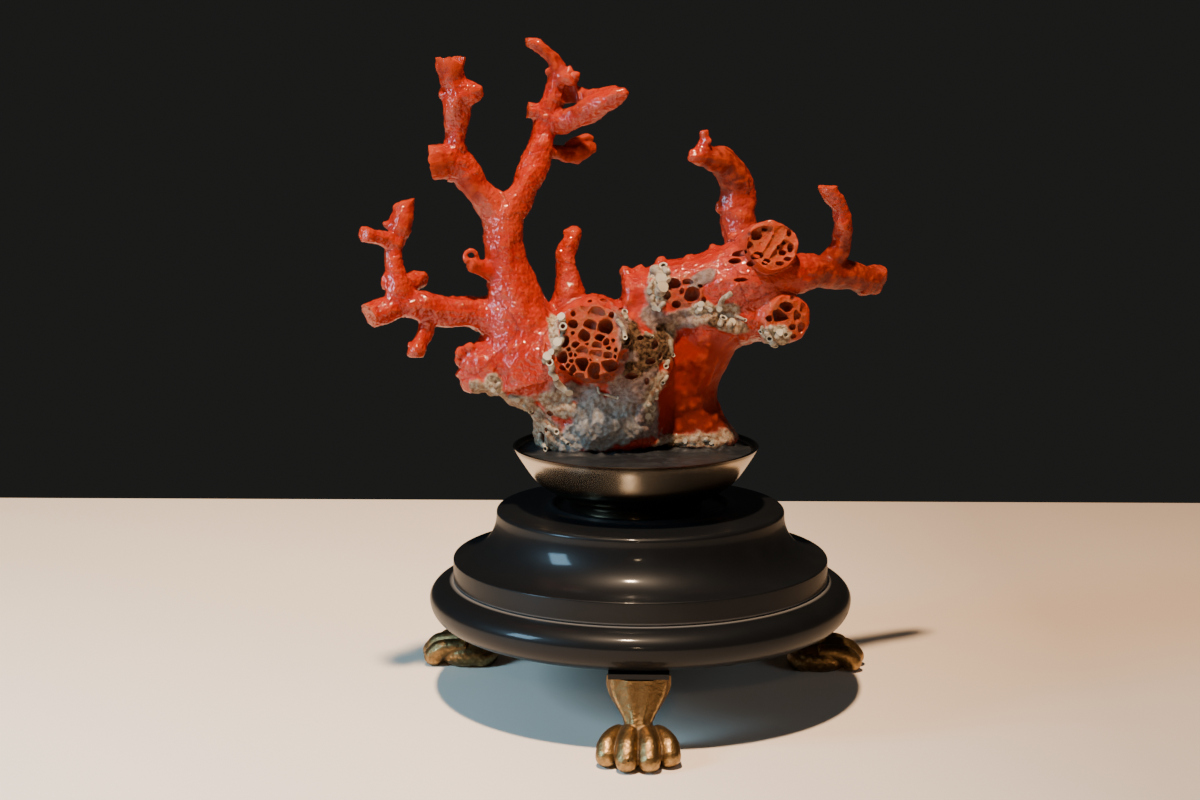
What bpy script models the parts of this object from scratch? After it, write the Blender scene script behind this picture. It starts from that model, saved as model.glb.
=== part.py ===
"""Red coral branch set in a shallow metal cup on a turned, ebonised stand with three paw feet.

The working frame has the stand's axis at x = y = 0, the viewer on the -Y side and the ground at
z = 0. One empty carries every piece and moves the middle of the bounding box over the origin.
Sizes are written in millimetres, and MM turns them into metres.
"""
import math
import random

import bmesh
import bpy
import numpy as np
from mathutils import Matrix, Vector
from mathutils.bvhtree import BVHTree

MM = 0.001
GAP = 0.3                     # clearance between pieces that touch
STAND_X = 4.0                 # the stand's axis, from the middle of the bounding box
STAND_Y = 7.0

# Turned stand
MOULDING_RADIUS = 70.0        # widest line of the lower moulding
MOULDING_TOP = 39.2
MOULDING_WIDEST = 33.5
MOULDING_BOTTOM = 25.8
MOULDING_CENTRE = 62.0        # radius of the middle of its round edge
LIP_RADIUS = 62.1             # band round the foot of the plinth
LIP_TOP = 46.8
DRUM_RADIUS = 47.65
DRUM_EDGE = 1.3               # radius of the rounding at the drum's top
DRUM_TOP = 63.3
COLLAR_RADIUS = 30.0
COLLAR_TOP = 64.8
TURNED_STEPS = 36

# Cup and its filling
CUP_X = -1.6                  # the cup stands a little to the left on the plinth
RIM_RADIUS = 40.55
RIM_HEIGHT = 83.85
CUP_WALL = 1.0
CUP_SEAT_RADIUS = 22.0
CUP_SEAT_HEIGHT = 63.6
FILL_HEIGHT = 82.5
FILL_EDGE = 0.8               # how far the filling's top edge stands outside the wall below it

# The cup's outer line from its rim to its seat: radius and height.
CUP_LINE = (
    (RIM_RADIUS, RIM_HEIGHT),
    (38.6, 80.5),
    (34.3, 74.2),
    (31.0, 71.0),
    (27.2, 68.6),
    (22.4, 66.6),
    (CUP_SEAT_RADIUS, CUP_SEAT_HEIGHT),
)

# Paw feet
FOOT_HEIGHT = 23.6
FOOT_BLOCK_INNER = 53.5       # the block runs outward between these radii
FOOT_BLOCK_OUTER = 66.0
FOOT_BLOCK_WIDTH = 18.6
FOOT_AZIMUTHS = {"front": -0.3, "left": -117.3, "right": 114.1}
FOOT_VOXEL = 0.55
FOOT_SMOOTHING = 3
FOOT_FACES = 340
LEG_SIDES = 32
LEG_FLUTES = 9
FLUTE_DEPTH = 0.06            # of the leg's radius

# Every row is height, distance from the stand's axis, and the leg's half width and half depth.
LEG_SECTIONS = (
    (FOOT_HEIGHT + 1.0, 60.0, 9.2, 6.6),
    (20.5, 60.2, 9.5, 7.0),
    (17.0, 61.5, 8.6, 6.7),
    (13.8, 63.8, 6.6, 5.8),
    (11.2, 66.0, 5.4, 5.2),
    (8.0, 68.5, 6.6, 7.0),
    (5.0, 69.5, 7.5, 8.0),
)

# Lumps of the paw in its place at the front: centre x, y, z and half sizes along x, y, z.
PAW_PALM = (
    (0.0, -68.5, 4.2, 9.6, 10.5, 5.6),
    (0.0, -61.8, 3.0, 6.6, 4.6, 3.9),
)
PAW_TOES = (                  # of the right half, mirrored for the left
    (3.05, -75.0, 6.6, 3.05, 5.6, 3.9),
    (3.05, -80.0, 3.5, 2.9, 3.9, 3.9),
    (8.75, -72.0, 6.2, 3.0, 5.4, 3.9),
    (8.75, -76.6, 3.4, 2.9, 3.8, 3.8),
)

# Coral
CORAL_SEAT = FILL_HEIGHT + GAP
BASE_VOXEL = 1.3              # the massive foot is melted coarsely, then again with the branches
BASE_SMOOTHING = 14
CORAL_VOXEL = 0.9
CORAL_SMOOTHING = 4
CORAL_FACES = 3300
SAW_CUT = 0.3
REACH = 95.0                  # nothing lies farther than this from the stand's axis

# Every row of a route is x, y, z and the branch's radius there.
TRUNK = (
    (-35.0, 0.0, 106.0, 16.0),
    (-38.5, 0.0, 118.0, 14.0),
    (-40.5, -1.0, 128.0, 11.2),
    (-42.0, -1.5, 136.0, 8.4),
    (-43.6, -2.0, 142.5, 7.1),
    (-44.2, -2.0, 149.0, 6.6),
    (-44.2, -2.0, 156.0, 6.6),
    (-45.0, -2.0, 161.5, 6.1),
)
UPPER_LEFT = (
    (-45.0, -2.0, 159.5, 5.6),
    (-50.8, -3.0, 165.5, 4.6),
    (-55.8, -4.0, 172.7, 5.0),
    (-59.3, -5.0, 179.0, 4.5),
    (-59.6, -6.0, 184.5, 4.0),
    (-58.8, -7.0, 191.0, 4.1),
    (-58.9, -8.0, 197.2, 4.6),
    (-60.1, -9.0, 203.5, 4.3),
    (-61.2, -10.0, 209.3, 4.3),
)
UPPER_LEFT_BLOCK = (
    (-57.5, -5.0, 175.5, 4.8),
    (-62.5, -7.0, 176.8, 5.2),
    (-67.2, -9.0, 177.3, 5.3),
)
UPPER_LEFT_KNOB = (
    (-57.7, -8.0, 198.5, 3.6),
    (-53.2, -9.0, 199.2, 2.9),
    (-49.7, -9.5, 199.8, 1.9),
)
UPPER_RIGHT = (
    (-44.0, -2.0, 160.0, 5.8),
    (-39.0, 0.0, 166.3, 4.7),
    (-35.9, 3.0, 173.0, 4.7),
    (-33.7, 5.0, 179.0, 4.4),
    (-32.1, 7.0, 184.8, 3.9),
    (-30.8, 8.0, 190.6, 4.4),
    (-28.8, 8.0, 197.0, 3.6),
    (-27.8, 8.0, 202.2, 3.5),
    (-27.8, 8.0, 207.0, 2.9),
    (-30.7, 7.0, 212.0, 2.4),
    (-35.0, 6.0, 214.8, 2.0),
)
UPPER_RIGHT_KNOB = (
    (-31.0, 8.0, 191.5, 3.4),
    (-36.2, 6.5, 192.8, 2.7),
)
UPPER_RIGHT_CREST = (
    (-27.2, 8.0, 202.8, 3.1),
    (-23.4, 5.0, 204.0, 2.8),
    (-20.6, 3.0, 204.4, 2.1),
)
POINTED_ARM = (
    (-29.5, 8.0, 188.5, 3.6),
    (-23.2, 4.0, 189.4, 3.9),
    (-15.9, -1.0, 192.8, 3.8),
    (-10.3, -5.0, 196.0, 3.3),
    (-5.0, -8.5, 199.2, 1.5),
)
POINTED_ARM_EDGE = (
    (-26.6, 8.0, 197.8, 3.0),
    (-20.0, 6.0, 198.4, 2.4),
    (-12.7, 0.5, 198.7, 2.2),
    (-5.6, -7.5, 199.6, 1.4),
)
REAR_STUB = (
    (-31.3, 7.0, 180.0, 3.0),
    (-26.1, 12.0, 179.6, 2.6),
    (-21.0, 16.0, 179.8, 3.9),
    (-16.6, 19.0, 181.0, 3.0),
)
REAR_STUB_LOBES = (
    (-21.5, 16.0, 184.5, 2.3),
    (-20.7, 16.0, 179.5, 3.2),
    (-20.6, 16.0, 175.5, 2.2),
)
LEFT_ARM = (
    (-42.0, -1.0, 125.5, 7.5),
    (-48.0, -2.5, 126.8, 6.6),
    (-54.5, -4.0, 128.4, 5.4),
    (-65.0, -8.0, 129.3, 5.1),
    (-71.7, -11.0, 131.2, 4.7),
    (-77.3, -13.0, 132.0, 4.5),
    (-82.2, -15.0, 130.4, 4.0),
    (-86.6, -17.0, 128.0, 3.8),
)
LEFT_ARM_DROP = (
    (-68.6, -10.0, 128.0, 3.2),
    (-69.6, -11.0, 123.3, 2.9),
    (-70.7, -12.0, 119.6, 2.7),
    (-72.4, -13.0, 116.0, 3.4),
    (-73.2, -13.0, 114.0, 2.6),
)
LEFT_ARM_RISE = (
    (-76.8, -13.0, 132.0, 4.7),
    (-78.4, -13.0, 139.0, 4.1),
    (-78.6, -12.0, 145.0, 3.2),
    (-78.8, -11.0, 149.1, 3.1),
    (-78.6, -10.0, 152.8, 3.3),
    (-77.3, -9.0, 158.0, 3.6),
    (-75.8, -8.0, 161.2, 2.8),
    (-74.4, -7.0, 164.2, 1.8),
)
LEFT_ARM_SIDE = (
    (-78.6, -11.0, 151.2, 2.6),
    (-82.6, -14.0, 152.5, 2.3),
    (-86.0, -17.0, 153.4, 2.1),
    (-88.8, -20.0, 154.2, 2.0),
)
LEFT_ARM_KNOB = (
    (-76.5, -9.0, 136.5, 3.2),
    (-73.0, -4.0, 138.4, 3.2),
)
TRUNK_KNOB = (
    (-45.5, -3.0, 141.0, 4.4),
    (-51.4, -6.0, 142.2, 3.2),
    (-54.8, -9.0, 144.2, 2.6),
)
SPIKE = (
    (-24.0, 3.0, 128.0, 6.6),
    (-24.0, 5.0, 135.9, 4.4),
    (-24.8, 6.0, 141.1, 3.4),
    (-24.7, 7.0, 147.0, 3.1),
    (-23.1, 8.0, 151.5, 2.9),
    (-22.2, 9.0, 154.0, 2.4),
)
HORN = (
    (34.0, 6.0, 138.0, 7.5),
    (33.2, 8.0, 145.0, 6.0),
    (32.5, 10.0, 151.5, 5.6),
    (31.9, 12.0, 160.5, 6.0),
    (31.5, 12.0, 167.0, 5.7),
    (30.3, 11.0, 172.0, 5.7),
    (27.4, 9.0, 175.9, 5.0),
    (23.0, 6.0, 177.5, 3.9),
    (18.0, 3.0, 178.8, 2.8),
    (15.3, 1.0, 179.0, 2.3),
)
HORN_TIP = (
    (22.0, 5.5, 178.5, 2.5),
    (20.8, 4.0, 183.0, 1.9),
    (21.2, 3.0, 186.0, 1.5),
)
RIGHT_ARM = (
    (40.0, 0.0, 140.5, 9.5),
    (47.0, 0.5, 140.6, 7.4),
    (52.5, 2.0, 141.0, 6.3),
    (57.9, 5.0, 140.9, 5.4),
    (63.9, 9.0, 139.8, 4.9),
    (69.0, 12.0, 138.6, 4.8),
    (75.0, 16.0, 137.4, 4.4),
    (80.8, 19.0, 138.8, 3.3),
)
RIGHT_ARM_LOBE = (
    (73.5, 15.0, 136.8, 3.9),
    (79.2, 19.0, 135.4, 3.1),
)
RIGHT_ARM_RISE = (
    (60.5, 7.0, 140.5, 4.6),
    (65.0, 8.0, 147.7, 3.5),
    (66.0, 6.0, 152.6, 3.3),
    (65.9, 4.0, 157.4, 3.3),
    (64.4, 3.0, 162.0, 3.1),
    (61.8, 2.0, 165.6, 3.0),
    (60.8, 1.0, 168.4, 3.0),
)
PILLAR = (
    (24.0, 3.0, 128.0, 12.5),
    (20.0, 4.0, 119.0, 12.0),
    (16.3, 5.5, 110.0, 11.2),
    (15.0, 7.0, 99.0, 10.3),
    (16.5, 8.0, 90.0, 12.0),
    (18.5, 9.0, 80.0, 15.0),
)
WING = (
    (-5.0, 4.0, 129.5, 11.5),
    (8.0, 4.0, 131.5, 12.2),
    (22.0, 4.0, 135.0, 12.5),
    (36.0, 3.0, 139.5, 14.0),
)
LEFT_FOOTING = (
    (-21.0, 0.0, 100.0, 15.0),
    (-20.5, 1.0, 90.0, 14.0),
    (-20.0, 3.0, 78.0, 14.5),
)
BORED_STUMP = (
    (-13.0, -3.0, 117.0, 13.5),
    (-15.0, -11.0, 119.2, 12.2),
    (-16.8, -16.5, 120.6, 11.5),
)
RIGHT_STUMP = (
    (36.0, 6.0, 142.0, 11.0),
    (40.0, -1.0, 147.5, 9.6),
    (41.3, -6.5, 150.0, 8.6),
)
LOW_KNOB = (
    (40.0, 3.0, 127.0, 8.5),
    (45.5, -4.0, 126.5, 8.6),
    (47.2, -9.0, 126.8, 7.6),
)
BASE_ROUTES = (TRUNK[:3], PILLAR, WING, LEFT_FOOTING, RIGHT_ARM[:2], LEFT_ARM[:2])
ROUTES = (
    TRUNK, TRUNK_KNOB, UPPER_LEFT, UPPER_LEFT_BLOCK, UPPER_LEFT_KNOB,
    UPPER_RIGHT, UPPER_RIGHT_KNOB, UPPER_RIGHT_CREST, POINTED_ARM, POINTED_ARM_EDGE,
    REAR_STUB, REAR_STUB_LOBES, LEFT_ARM, LEFT_ARM_DROP, LEFT_ARM_RISE, LEFT_ARM_SIDE,
    LEFT_ARM_KNOB, SPIKE, HORN, HORN_TIP, RIGHT_ARM, RIGHT_ARM_LOBE, RIGHT_ARM_RISE,
    BORED_STUMP, RIGHT_STUMP, LOW_KNOB,
)

# The massive foot of the colony: centre x, y, z and half sizes along x, y, z.
BASE_LUMPS = (
    (-31.0, 1.0, 109.0, 19.0, 16.0, 14.5),
    (-48.5, -4.0, 111.5, 11.0, 9.5, 8.5),
    (-54.0, -7.0, 107.0, 5.0, 6.0, 4.5),
    (-16.0, 1.0, 99.0, 19.0, 15.0, 15.0),
    (-16.0, 1.0, 117.0, 17.0, 15.0, 17.0),
    (-8.0, 0.0, 91.0, 16.0, 13.0, 12.0),
    (-28.0, -5.0, 113.0, 12.0, 11.0, 13.0),
    (-2.0, -3.0, 111.0, 12.0, 12.0, 17.0),
    (0.0, 4.0, 106.0, 14.0, 13.0, 19.0),
    (34.0, 2.0, 126.0, 14.0, 10.0, 8.5),
    (-14.0, -9.0, 93.0, 10.0, 6.0, 7.0),
    (-40.0, 10.0, 118.0, 9.0, 8.0, 9.0),
    (8.0, 12.0, 121.0, 10.0, 7.0, 11.0),
)

# Raised crust and worm tubes on the front of the base: radius, then x and z along each ridge.
CRUST_RIDGES = (
    (1.5, ((-25.6, 126.5), (-27.2, 121.0), (-29.8, 114.5), (-26.5, 108.0), (-21.0, 104.5))),
    (2.0, ((6.0, 143.0), (5.0, 137.0), (7.5, 131.0), (14.0, 125.5), (24.5, 125.5), (31.0, 122.5))),
    (1.8, ((0.5, 122.0), (8.5, 119.0), (9.0, 112.0), (5.5, 106.0), (2.0, 99.5), (0.0, 94.0))),
    (1.8, ((-53.0, 106.5), (-47.0, 105.0), (-41.0, 101.5), (-35.0, 97.5), (-30.0, 91.0), (-29.0, 86.0))),
    (1.6, ((-3.5, 128.0), (-3.0, 122.0), (-5.0, 112.0), (-10.0, 106.5))),
    (1.7, ((3.0, 86.0), (10.0, 86.5), (18.0, 86.0))),
)
RIDGE_SINK = 0.3              # how far a ridge's middle lies inside the surface

# A saw cut at each main fork: point, direction of the branch there, radius of the blade.
SAW_CUTS = (
    ((-42.0, -1.5, 136.2), (-1.2, -0.4, 6.0), 11.5),
    ((-51.0, -3.0, 166.3), (-5.0, -1.0, 6.6), 7.5),
    ((-38.3, 0.5, 167.6), (3.0, 2.6, 6.8), 7.0),
    ((-56.5, -5.0, 128.6), (-10.0, -2.8, 1.4), 8.5),
    ((-24.2, 5.2, 137.5), (-0.4, 1.0, 5.5), 6.2),
    ((32.2, 11.2, 157.6), (-0.6, 1.8, 9.0), 8.2),
    ((54.8, 3.2, 141.0), (5.4, 3.0, 0.0), 7.6),
)
CORAL_PIECES = {
    "coral_base": (-5.0, 2.0, 112.0),
    "coral_trunk": (-44.0, -2.0, 149.0),
    "coral_upper_left_branch": (-59.0, -6.0, 186.0),
    "coral_upper_right_branch": (-29.0, 7.0, 192.0),
    "coral_left_branch": (-74.0, -12.0, 134.0),
    "coral_spike": (-24.5, 6.5, 145.0),
    "coral_horn_branch": (30.0, 10.0, 168.0),
    "coral_right_branch": (67.0, 9.0, 146.0),
}

CELL_MOUTH = 1.0              # a plug stands this far out of the face
CELL_TAPER = 0.6              # width of a cell's floor to that of its mouth

# Bored faces: point on the face, outward direction, radius of the face, number of cells,
# mean radius of a cell and its depth.
BORED_FACES = (
    ((-16.8, -17.0, 120.6), (-0.30, -0.92, 0.24), 10.0, 19, 1.95, 5.0),
    ((41.3, -7.0, 150.0), (0.15, -0.92, 0.36), 6.8, 8, 1.45, 3.0),
    ((47.2, -9.4, 126.8), (0.25, -0.97, 0.0), 5.2, 5, 1.50, 3.2),
    ((14.0, -7.8, 135.0), (-0.05, -1.0, 0.05), 4.0, 4, 1.50, 3.0),
)


def remove_old_objects():
    """Empty the scene, so that the script can be run again."""
    for old in list(bpy.data.objects):
        bpy.data.objects.remove(old, do_unlink=True)


def principled(name, colour, roughness, metallic):
    """Return a plain material of one colour."""
    material = bpy.data.materials.new(name)
    material.use_nodes = True
    shader = material.node_tree.nodes["Principled BSDF"]
    shader.inputs["Base Color"].default_value = (*colour, 1.0)
    shader.inputs["Roughness"].default_value = roughness
    shader.inputs["Metallic"].default_value = metallic
    return material


def add_object(name, data, parent=None):
    """Link a new object into the scene."""
    made = bpy.data.objects.new(name, data)
    bpy.context.scene.collection.objects.link(made)
    made.parent = parent
    return made


def evaluated_mesh(source):
    """Return a new mesh of an object as its modifiers leave it."""
    depsgraph = bpy.context.evaluated_depsgraph_get()
    depsgraph.update()
    return bpy.data.meshes.new_from_object(source.evaluated_get(depsgraph), depsgraph=depsgraph)


def mesh_of(bm, name):
    """Turn a bmesh into a mesh and free it."""
    mesh = bpy.data.meshes.new(name)
    bm.to_mesh(mesh)
    bm.free()
    return mesh


def smooth_route(rows, step):
    """Read points about one step apart from a smooth curve through the rows (Catmull-Rom)."""
    points = np.array(rows, dtype=float)
    points = np.vstack((2 * points[0] - points[1], points, 2 * points[-1] - points[-2]))
    route = []
    for a, b, c, d in zip(points, points[1:], points[2:], points[3:]):
        count = max(2, round(float(np.linalg.norm(c[:3] - b[:3])) / step))
        for t in np.arange(count) / count:
            bend = 2 * a - 5 * b + 4 * c - d
            route.append(0.5 * (2 * b + (c - a) * t + bend * t ** 2 + (3 * (b - c) + d - a) * t ** 3))
    route.append(points[-2])
    return route


def branches_mesh(routes, step, name):
    """Return closed tubes of changing radius along the routes."""
    curve = bpy.data.curves.new(name, "CURVE")
    curve.dimensions = "3D"
    curve.bevel_depth = MM
    curve.bevel_resolution = 4
    curve.use_fill_caps = True
    for rows in routes:
        route = smooth_route(rows, step)
        spline = curve.splines.new("POLY")
        spline.points.add(len(route) - 1)
        for point, (x, y, z, radius) in zip(spline.points, route):
            point.co = (x * MM, y * MM, z * MM, 1.0)
            point.radius = radius
    guide = add_object(name, curve)
    mesh = evaluated_mesh(guide)
    bpy.data.objects.remove(guide)
    return mesh


def add_ellipsoid(bm, centre, half_sizes):
    """Add a closed ellipsoid with its axes along x, y and z."""
    place = Matrix.Translation(Vector(centre) * MM) @ Matrix.Diagonal((*(Vector(half_sizes) * MM), 1.0))
    bmesh.ops.create_icosphere(bm, subdivisions=3, radius=1.0, matrix=place)


def routes_on_front(mesh, ridges):
    """Lay ridges, given as seen from the front, on the front of a mesh."""
    surface = bmesh.new()
    surface.from_mesh(mesh)
    tree = BVHTree.FromBMesh(surface)
    surface.free()
    routes = []
    for radius, line in ridges:
        rows = []
        for x, z in line:
            hit = tree.ray_cast(Vector((x, -REACH, z)) * MM, Vector((0.0, 1.0, 0.0)))[0]
            if hit:
                rows.append((x, hit.y / MM + RIDGE_SINK, z, radius))
        routes.append(tuple(rows))
    return routes


def melted(bm, name, voxel, smoothing):
    """Melt overlapping shells into one closed skin and smooth it."""
    rough = add_object(name, mesh_of(bm, name))
    remesh = rough.modifiers.new("melt", "REMESH")
    remesh.mode = "VOXEL"
    remesh.voxel_size = voxel * MM
    remesh.adaptivity = 0.0
    relax = rough.modifiers.new("relax", "SMOOTH")
    relax.factor = 0.5
    relax.iterations = smoothing
    skin = evaluated_mesh(rough)
    bpy.data.objects.remove(rough)
    return skin


def thinned(mesh, name, triangles):
    """Return the mesh brought down to about a number of triangles."""
    rough = add_object(name, mesh)
    reduce = rough.modifiers.new("reduce", "DECIMATE")
    reduce.ratio = triangles / (2 * len(mesh.polygons))
    reduce.use_collapse_triangulate = True
    result = evaluated_mesh(rough)
    bpy.data.objects.remove(rough)
    return result


def cut_away(mesh, cutter, name):
    """Return the mesh less the cutter."""
    body = add_object(name, mesh)
    tool = add_object(name + "_cutter", cutter)
    tool.hide_render = True
    tool.display_type = "WIRE"
    boolean = body.modifiers.new("cut", "BOOLEAN")
    boolean.operation = "DIFFERENCE"
    boolean.solver = "EXACT"
    boolean.object = tool
    result = evaluated_mesh(body)
    bpy.data.objects.remove(body)
    bpy.data.objects.remove(tool)
    return result


def block_mesh(low, high, name):
    """Return a box between two corners."""
    bm = bmesh.new()
    low, high = Vector(low) * MM, Vector(high) * MM
    place = Matrix.Translation((low + high) / 2) @ Matrix.Diagonal((*(high - low), 1.0))
    bmesh.ops.create_cube(bm, size=1.0, matrix=place)
    return mesh_of(bm, name)


def facing(direction):
    """Return the rotation that turns +Z to a direction."""
    return Vector(direction).to_track_quat("Z", "Y").to_matrix().to_4x4()


def saw_blades():
    """Return the thin discs that part the coral at its main forks."""
    bm = bmesh.new()
    for point, direction, radius in SAW_CUTS:
        place = Matrix.Translation(Vector(point) * MM) @ facing(direction)
        bmesh.ops.create_cone(
            bm, cap_ends=True, segments=16, radius1=radius * MM, radius2=radius * MM,
            depth=SAW_CUT * MM, matrix=place)
    return mesh_of(bm, "saw_blades")


def boring_cells():
    """Return tapered five-sided plugs, spread over each bored face like seeds in a flower."""
    bm = bmesh.new()
    chance = random.Random(7)
    turn = math.radians(137.5)
    for point, direction, face_radius, count, cell_radius, depth in BORED_FACES:
        face = Matrix.Translation(Vector(point) * MM) @ facing(direction)
        for cell in range(count):
            reach = face_radius * math.sqrt((cell + 0.5) / count)
            across = reach * math.cos(cell * turn)
            along = reach * math.sin(cell * turn)
            radius = cell_radius * chance.uniform(0.72, 1.12)
            middle = (CELL_MOUTH - depth) / 2
            place = face @ Matrix.Translation((across * MM, along * MM, middle * MM))
            place = place @ Matrix.Rotation(chance.uniform(0.0, math.tau), 4, "Z")
            bmesh.ops.create_cone(
                bm, cap_ends=True, segments=5, radius1=radius * CELL_TAPER * MM,
                radius2=radius * MM, depth=(depth + CELL_MOUTH) * MM, matrix=place)
    return mesh_of(bm, "boring_cells")


def islands(mesh):
    """Yield each connected piece of a mesh as a bmesh of its own."""
    whole = bmesh.new()
    whole.from_mesh(mesh)
    waiting = set(whole.verts)
    while waiting:
        island = {waiting.pop()}
        edge = list(island)
        while edge:
            near = {link.other_vert(edge_vert) for edge_vert in edge for link in edge_vert.link_edges}
            edge = list(near - island)
            island.update(edge)
        waiting -= island
        piece = whole.copy()
        keep = {vert.index for vert in island}
        piece.verts.ensure_lookup_table()
        strangers = [vert for vert in piece.verts if vert.index not in keep]
        bmesh.ops.delete(piece, geom=strangers, context="VERTS")
        yield piece
    whole.free()


def build_coral(parent, material):
    """Model the colony as one skin, bore its faces and part it at its main forks."""
    bm = bmesh.new()
    bm.from_mesh(branches_mesh(BASE_ROUTES, 2.0, "base_routes"))
    for x, y, z, wide, deep, high in BASE_LUMPS:
        add_ellipsoid(bm, (x, y, z), (wide, deep, high))
    base = melted(bm, "base", BASE_VOXEL, BASE_SMOOTHING)
    routes = list(ROUTES) + routes_on_front(base, CRUST_RIDGES)
    bm = bmesh.new()
    bm.from_mesh(base)
    bm.from_mesh(branches_mesh(routes, 1.5, "branches"))
    skin = thinned(melted(bm, "coral", CORAL_VOXEL, CORAL_SMOOTHING), "coral", CORAL_FACES)
    below = block_mesh((-REACH, -REACH, 0), (REACH, REACH, CORAL_SEAT), "below_the_seat")
    skin = cut_away(skin, below, "coral")
    skin = cut_away(skin, boring_cells(), "coral")
    skin = cut_away(skin, saw_blades(), "coral")
    for piece in islands(skin):
        middle = sum((vert.co for vert in piece.verts), Vector()) / len(piece.verts) / MM
        name = min(CORAL_PIECES, key=lambda label: (Vector(CORAL_PIECES[label]) - middle).length)
        mesh = mesh_of(piece, name)
        mesh.materials.append(material)
        add_object(name, mesh, parent)


def arc(centre, half_width, half_height, start, end, count):
    """Return points of an elliptical arc in the profile plane, angles in degrees from +X."""
    angles = np.radians(np.linspace(start, end, count))
    radius, height = centre
    return [(radius + half_width * math.cos(a), height + half_height * math.sin(a)) for a in angles]


def turned(name, profile, material, parent, steps=TURNED_STEPS):
    """Turn a profile, listed from the top of the axis outward and down to the axis again."""
    bm = bmesh.new()
    line = [bm.verts.new((radius * MM, 0.0, height * MM)) for radius, height in profile]
    for upper, lower in zip(line, line[1:]):
        bm.edges.new((upper, lower))
    mesh = mesh_of(bm, name)
    mesh.materials.append(material)
    made = add_object(name, mesh, parent)
    screw = made.modifiers.new("turn", "SCREW")
    screw.axis = "Z"
    screw.steps = steps
    screw.render_steps = steps
    screw.use_merge_vertices = True
    screw.merge_threshold = 0.0001
    screw.use_smooth_shade = True
    return made


def build_moulding(parent, material):
    """Turn the round lower moulding, a little fuller above its widest line."""
    reach = MOULDING_RADIUS - MOULDING_CENTRE
    upper = arc((MOULDING_CENTRE, MOULDING_WIDEST), reach, MOULDING_TOP - MOULDING_WIDEST, 90, 0, 5)
    lower = arc((MOULDING_CENTRE, MOULDING_WIDEST), reach, MOULDING_WIDEST - MOULDING_BOTTOM, 0, -90, 6)
    profile = [(0.0, MOULDING_TOP)] + upper + lower[1:] + [(0.0, MOULDING_BOTTOM)]
    return turned("lower_moulding", profile, material, parent)


def build_plinth(parent, material):
    """Turn the plinth: collar, flat top with a rounded edge, hollow flare and straight lip."""
    underside = MOULDING_TOP + GAP
    seat = CUP_SEAT_HEIGHT - GAP
    profile = [(0.0, seat), (COLLAR_RADIUS - 2.2, seat), (COLLAR_RADIUS - 1.4, COLLAR_TOP - 0.4)]
    profile += [(COLLAR_RADIUS - 0.7, COLLAR_TOP), (COLLAR_RADIUS, COLLAR_TOP - 0.4)]
    profile += [(COLLAR_RADIUS + 1.2, DRUM_TOP + 0.3), (COLLAR_RADIUS + 4.0, DRUM_TOP - 0.1)]
    profile += arc((DRUM_RADIUS - DRUM_EDGE, DRUM_TOP - 0.1 - DRUM_EDGE), DRUM_EDGE, DRUM_EDGE, 85, 0, 3)
    flare_top = DRUM_TOP - DRUM_EDGE - 0.5
    flare_middle = LIP_RADIUS - 0.4
    profile += arc((flare_middle, flare_top), flare_middle - DRUM_RADIUS, flare_top - LIP_TOP, 180, 270, 7)
    profile += [(LIP_RADIUS, LIP_TOP - 0.4)]
    profile += [(LIP_RADIUS, underside + 0.4), (LIP_RADIUS - 0.4, underside), (0.0, underside)]
    return turned("plinth", profile, material, parent)


def cup_outline(inset):
    """Return the cup's outer line from rim to seat, moved inward by an inset."""
    moved = []
    for radius, height in CUP_LINE:
        slope = 0.6 + 0.4 * (RIM_HEIGHT - height) / (RIM_HEIGHT - CUP_SEAT_HEIGHT)
        moved.append((radius - inset * (1.25 - 0.45 * slope), height + inset * slope))
    return moved


def build_cup(parent, material):
    """Turn the shallow bowl with its thin wall and rounded rim."""
    outside = cup_outline(0.0)
    inside = cup_outline(CUP_WALL)
    inside = [(inside[0][0], RIM_HEIGHT - 0.15)] + inside[1:]
    profile = [(0.0, inside[-1][1])] + inside[::-1]
    profile += [(RIM_RADIUS - 0.5, RIM_HEIGHT + 0.1)] + outside + [(0.0, CUP_SEAT_HEIGHT)]
    cup = turned("cup", profile, material, parent)
    cup.location.x = CUP_X * MM
    return cup


def build_fill(parent, material):
    """Turn the black filling that takes up the bowl under the coral."""
    wall = [point for point in cup_outline(CUP_WALL + GAP) if point[1] < FILL_HEIGHT - 0.8]
    edge = wall[0][0] + FILL_EDGE
    profile = [(0.0, FILL_HEIGHT), (edge, FILL_HEIGHT)]
    profile += wall + [(0.0, wall[-1][1])]
    fill = turned("cup_fill", profile, material, parent)
    fill.location.x = CUP_X * MM
    return fill


def add_leg(bm):
    """Add the foot's fluted leg, from the block down into the paw."""
    rings = []
    for height, distance, half_width, half_depth in LEG_SECTIONS:
        ring = []
        for side in range(LEG_SIDES):
            angle = math.tau * side / LEG_SIDES
            swell = 1.0 + FLUTE_DEPTH * math.cos(LEG_FLUTES * angle)
            x = half_width * swell * math.cos(angle)
            y = half_depth * swell * math.sin(angle) - distance
            ring.append(bm.verts.new((x * MM, y * MM, height * MM)))
        rings.append([bm.edges.new((a, b)) for a, b in zip(ring, ring[1:] + ring[:1])])
    for upper, lower in zip(rings, rings[1:]):
        bmesh.ops.bridge_loops(bm, edges=upper + lower)
    bmesh.ops.holes_fill(bm, edges=rings[0] + rings[-1], sides=LEG_SIDES)
    bmesh.ops.recalc_face_normals(bm, faces=bm.faces)


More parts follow.
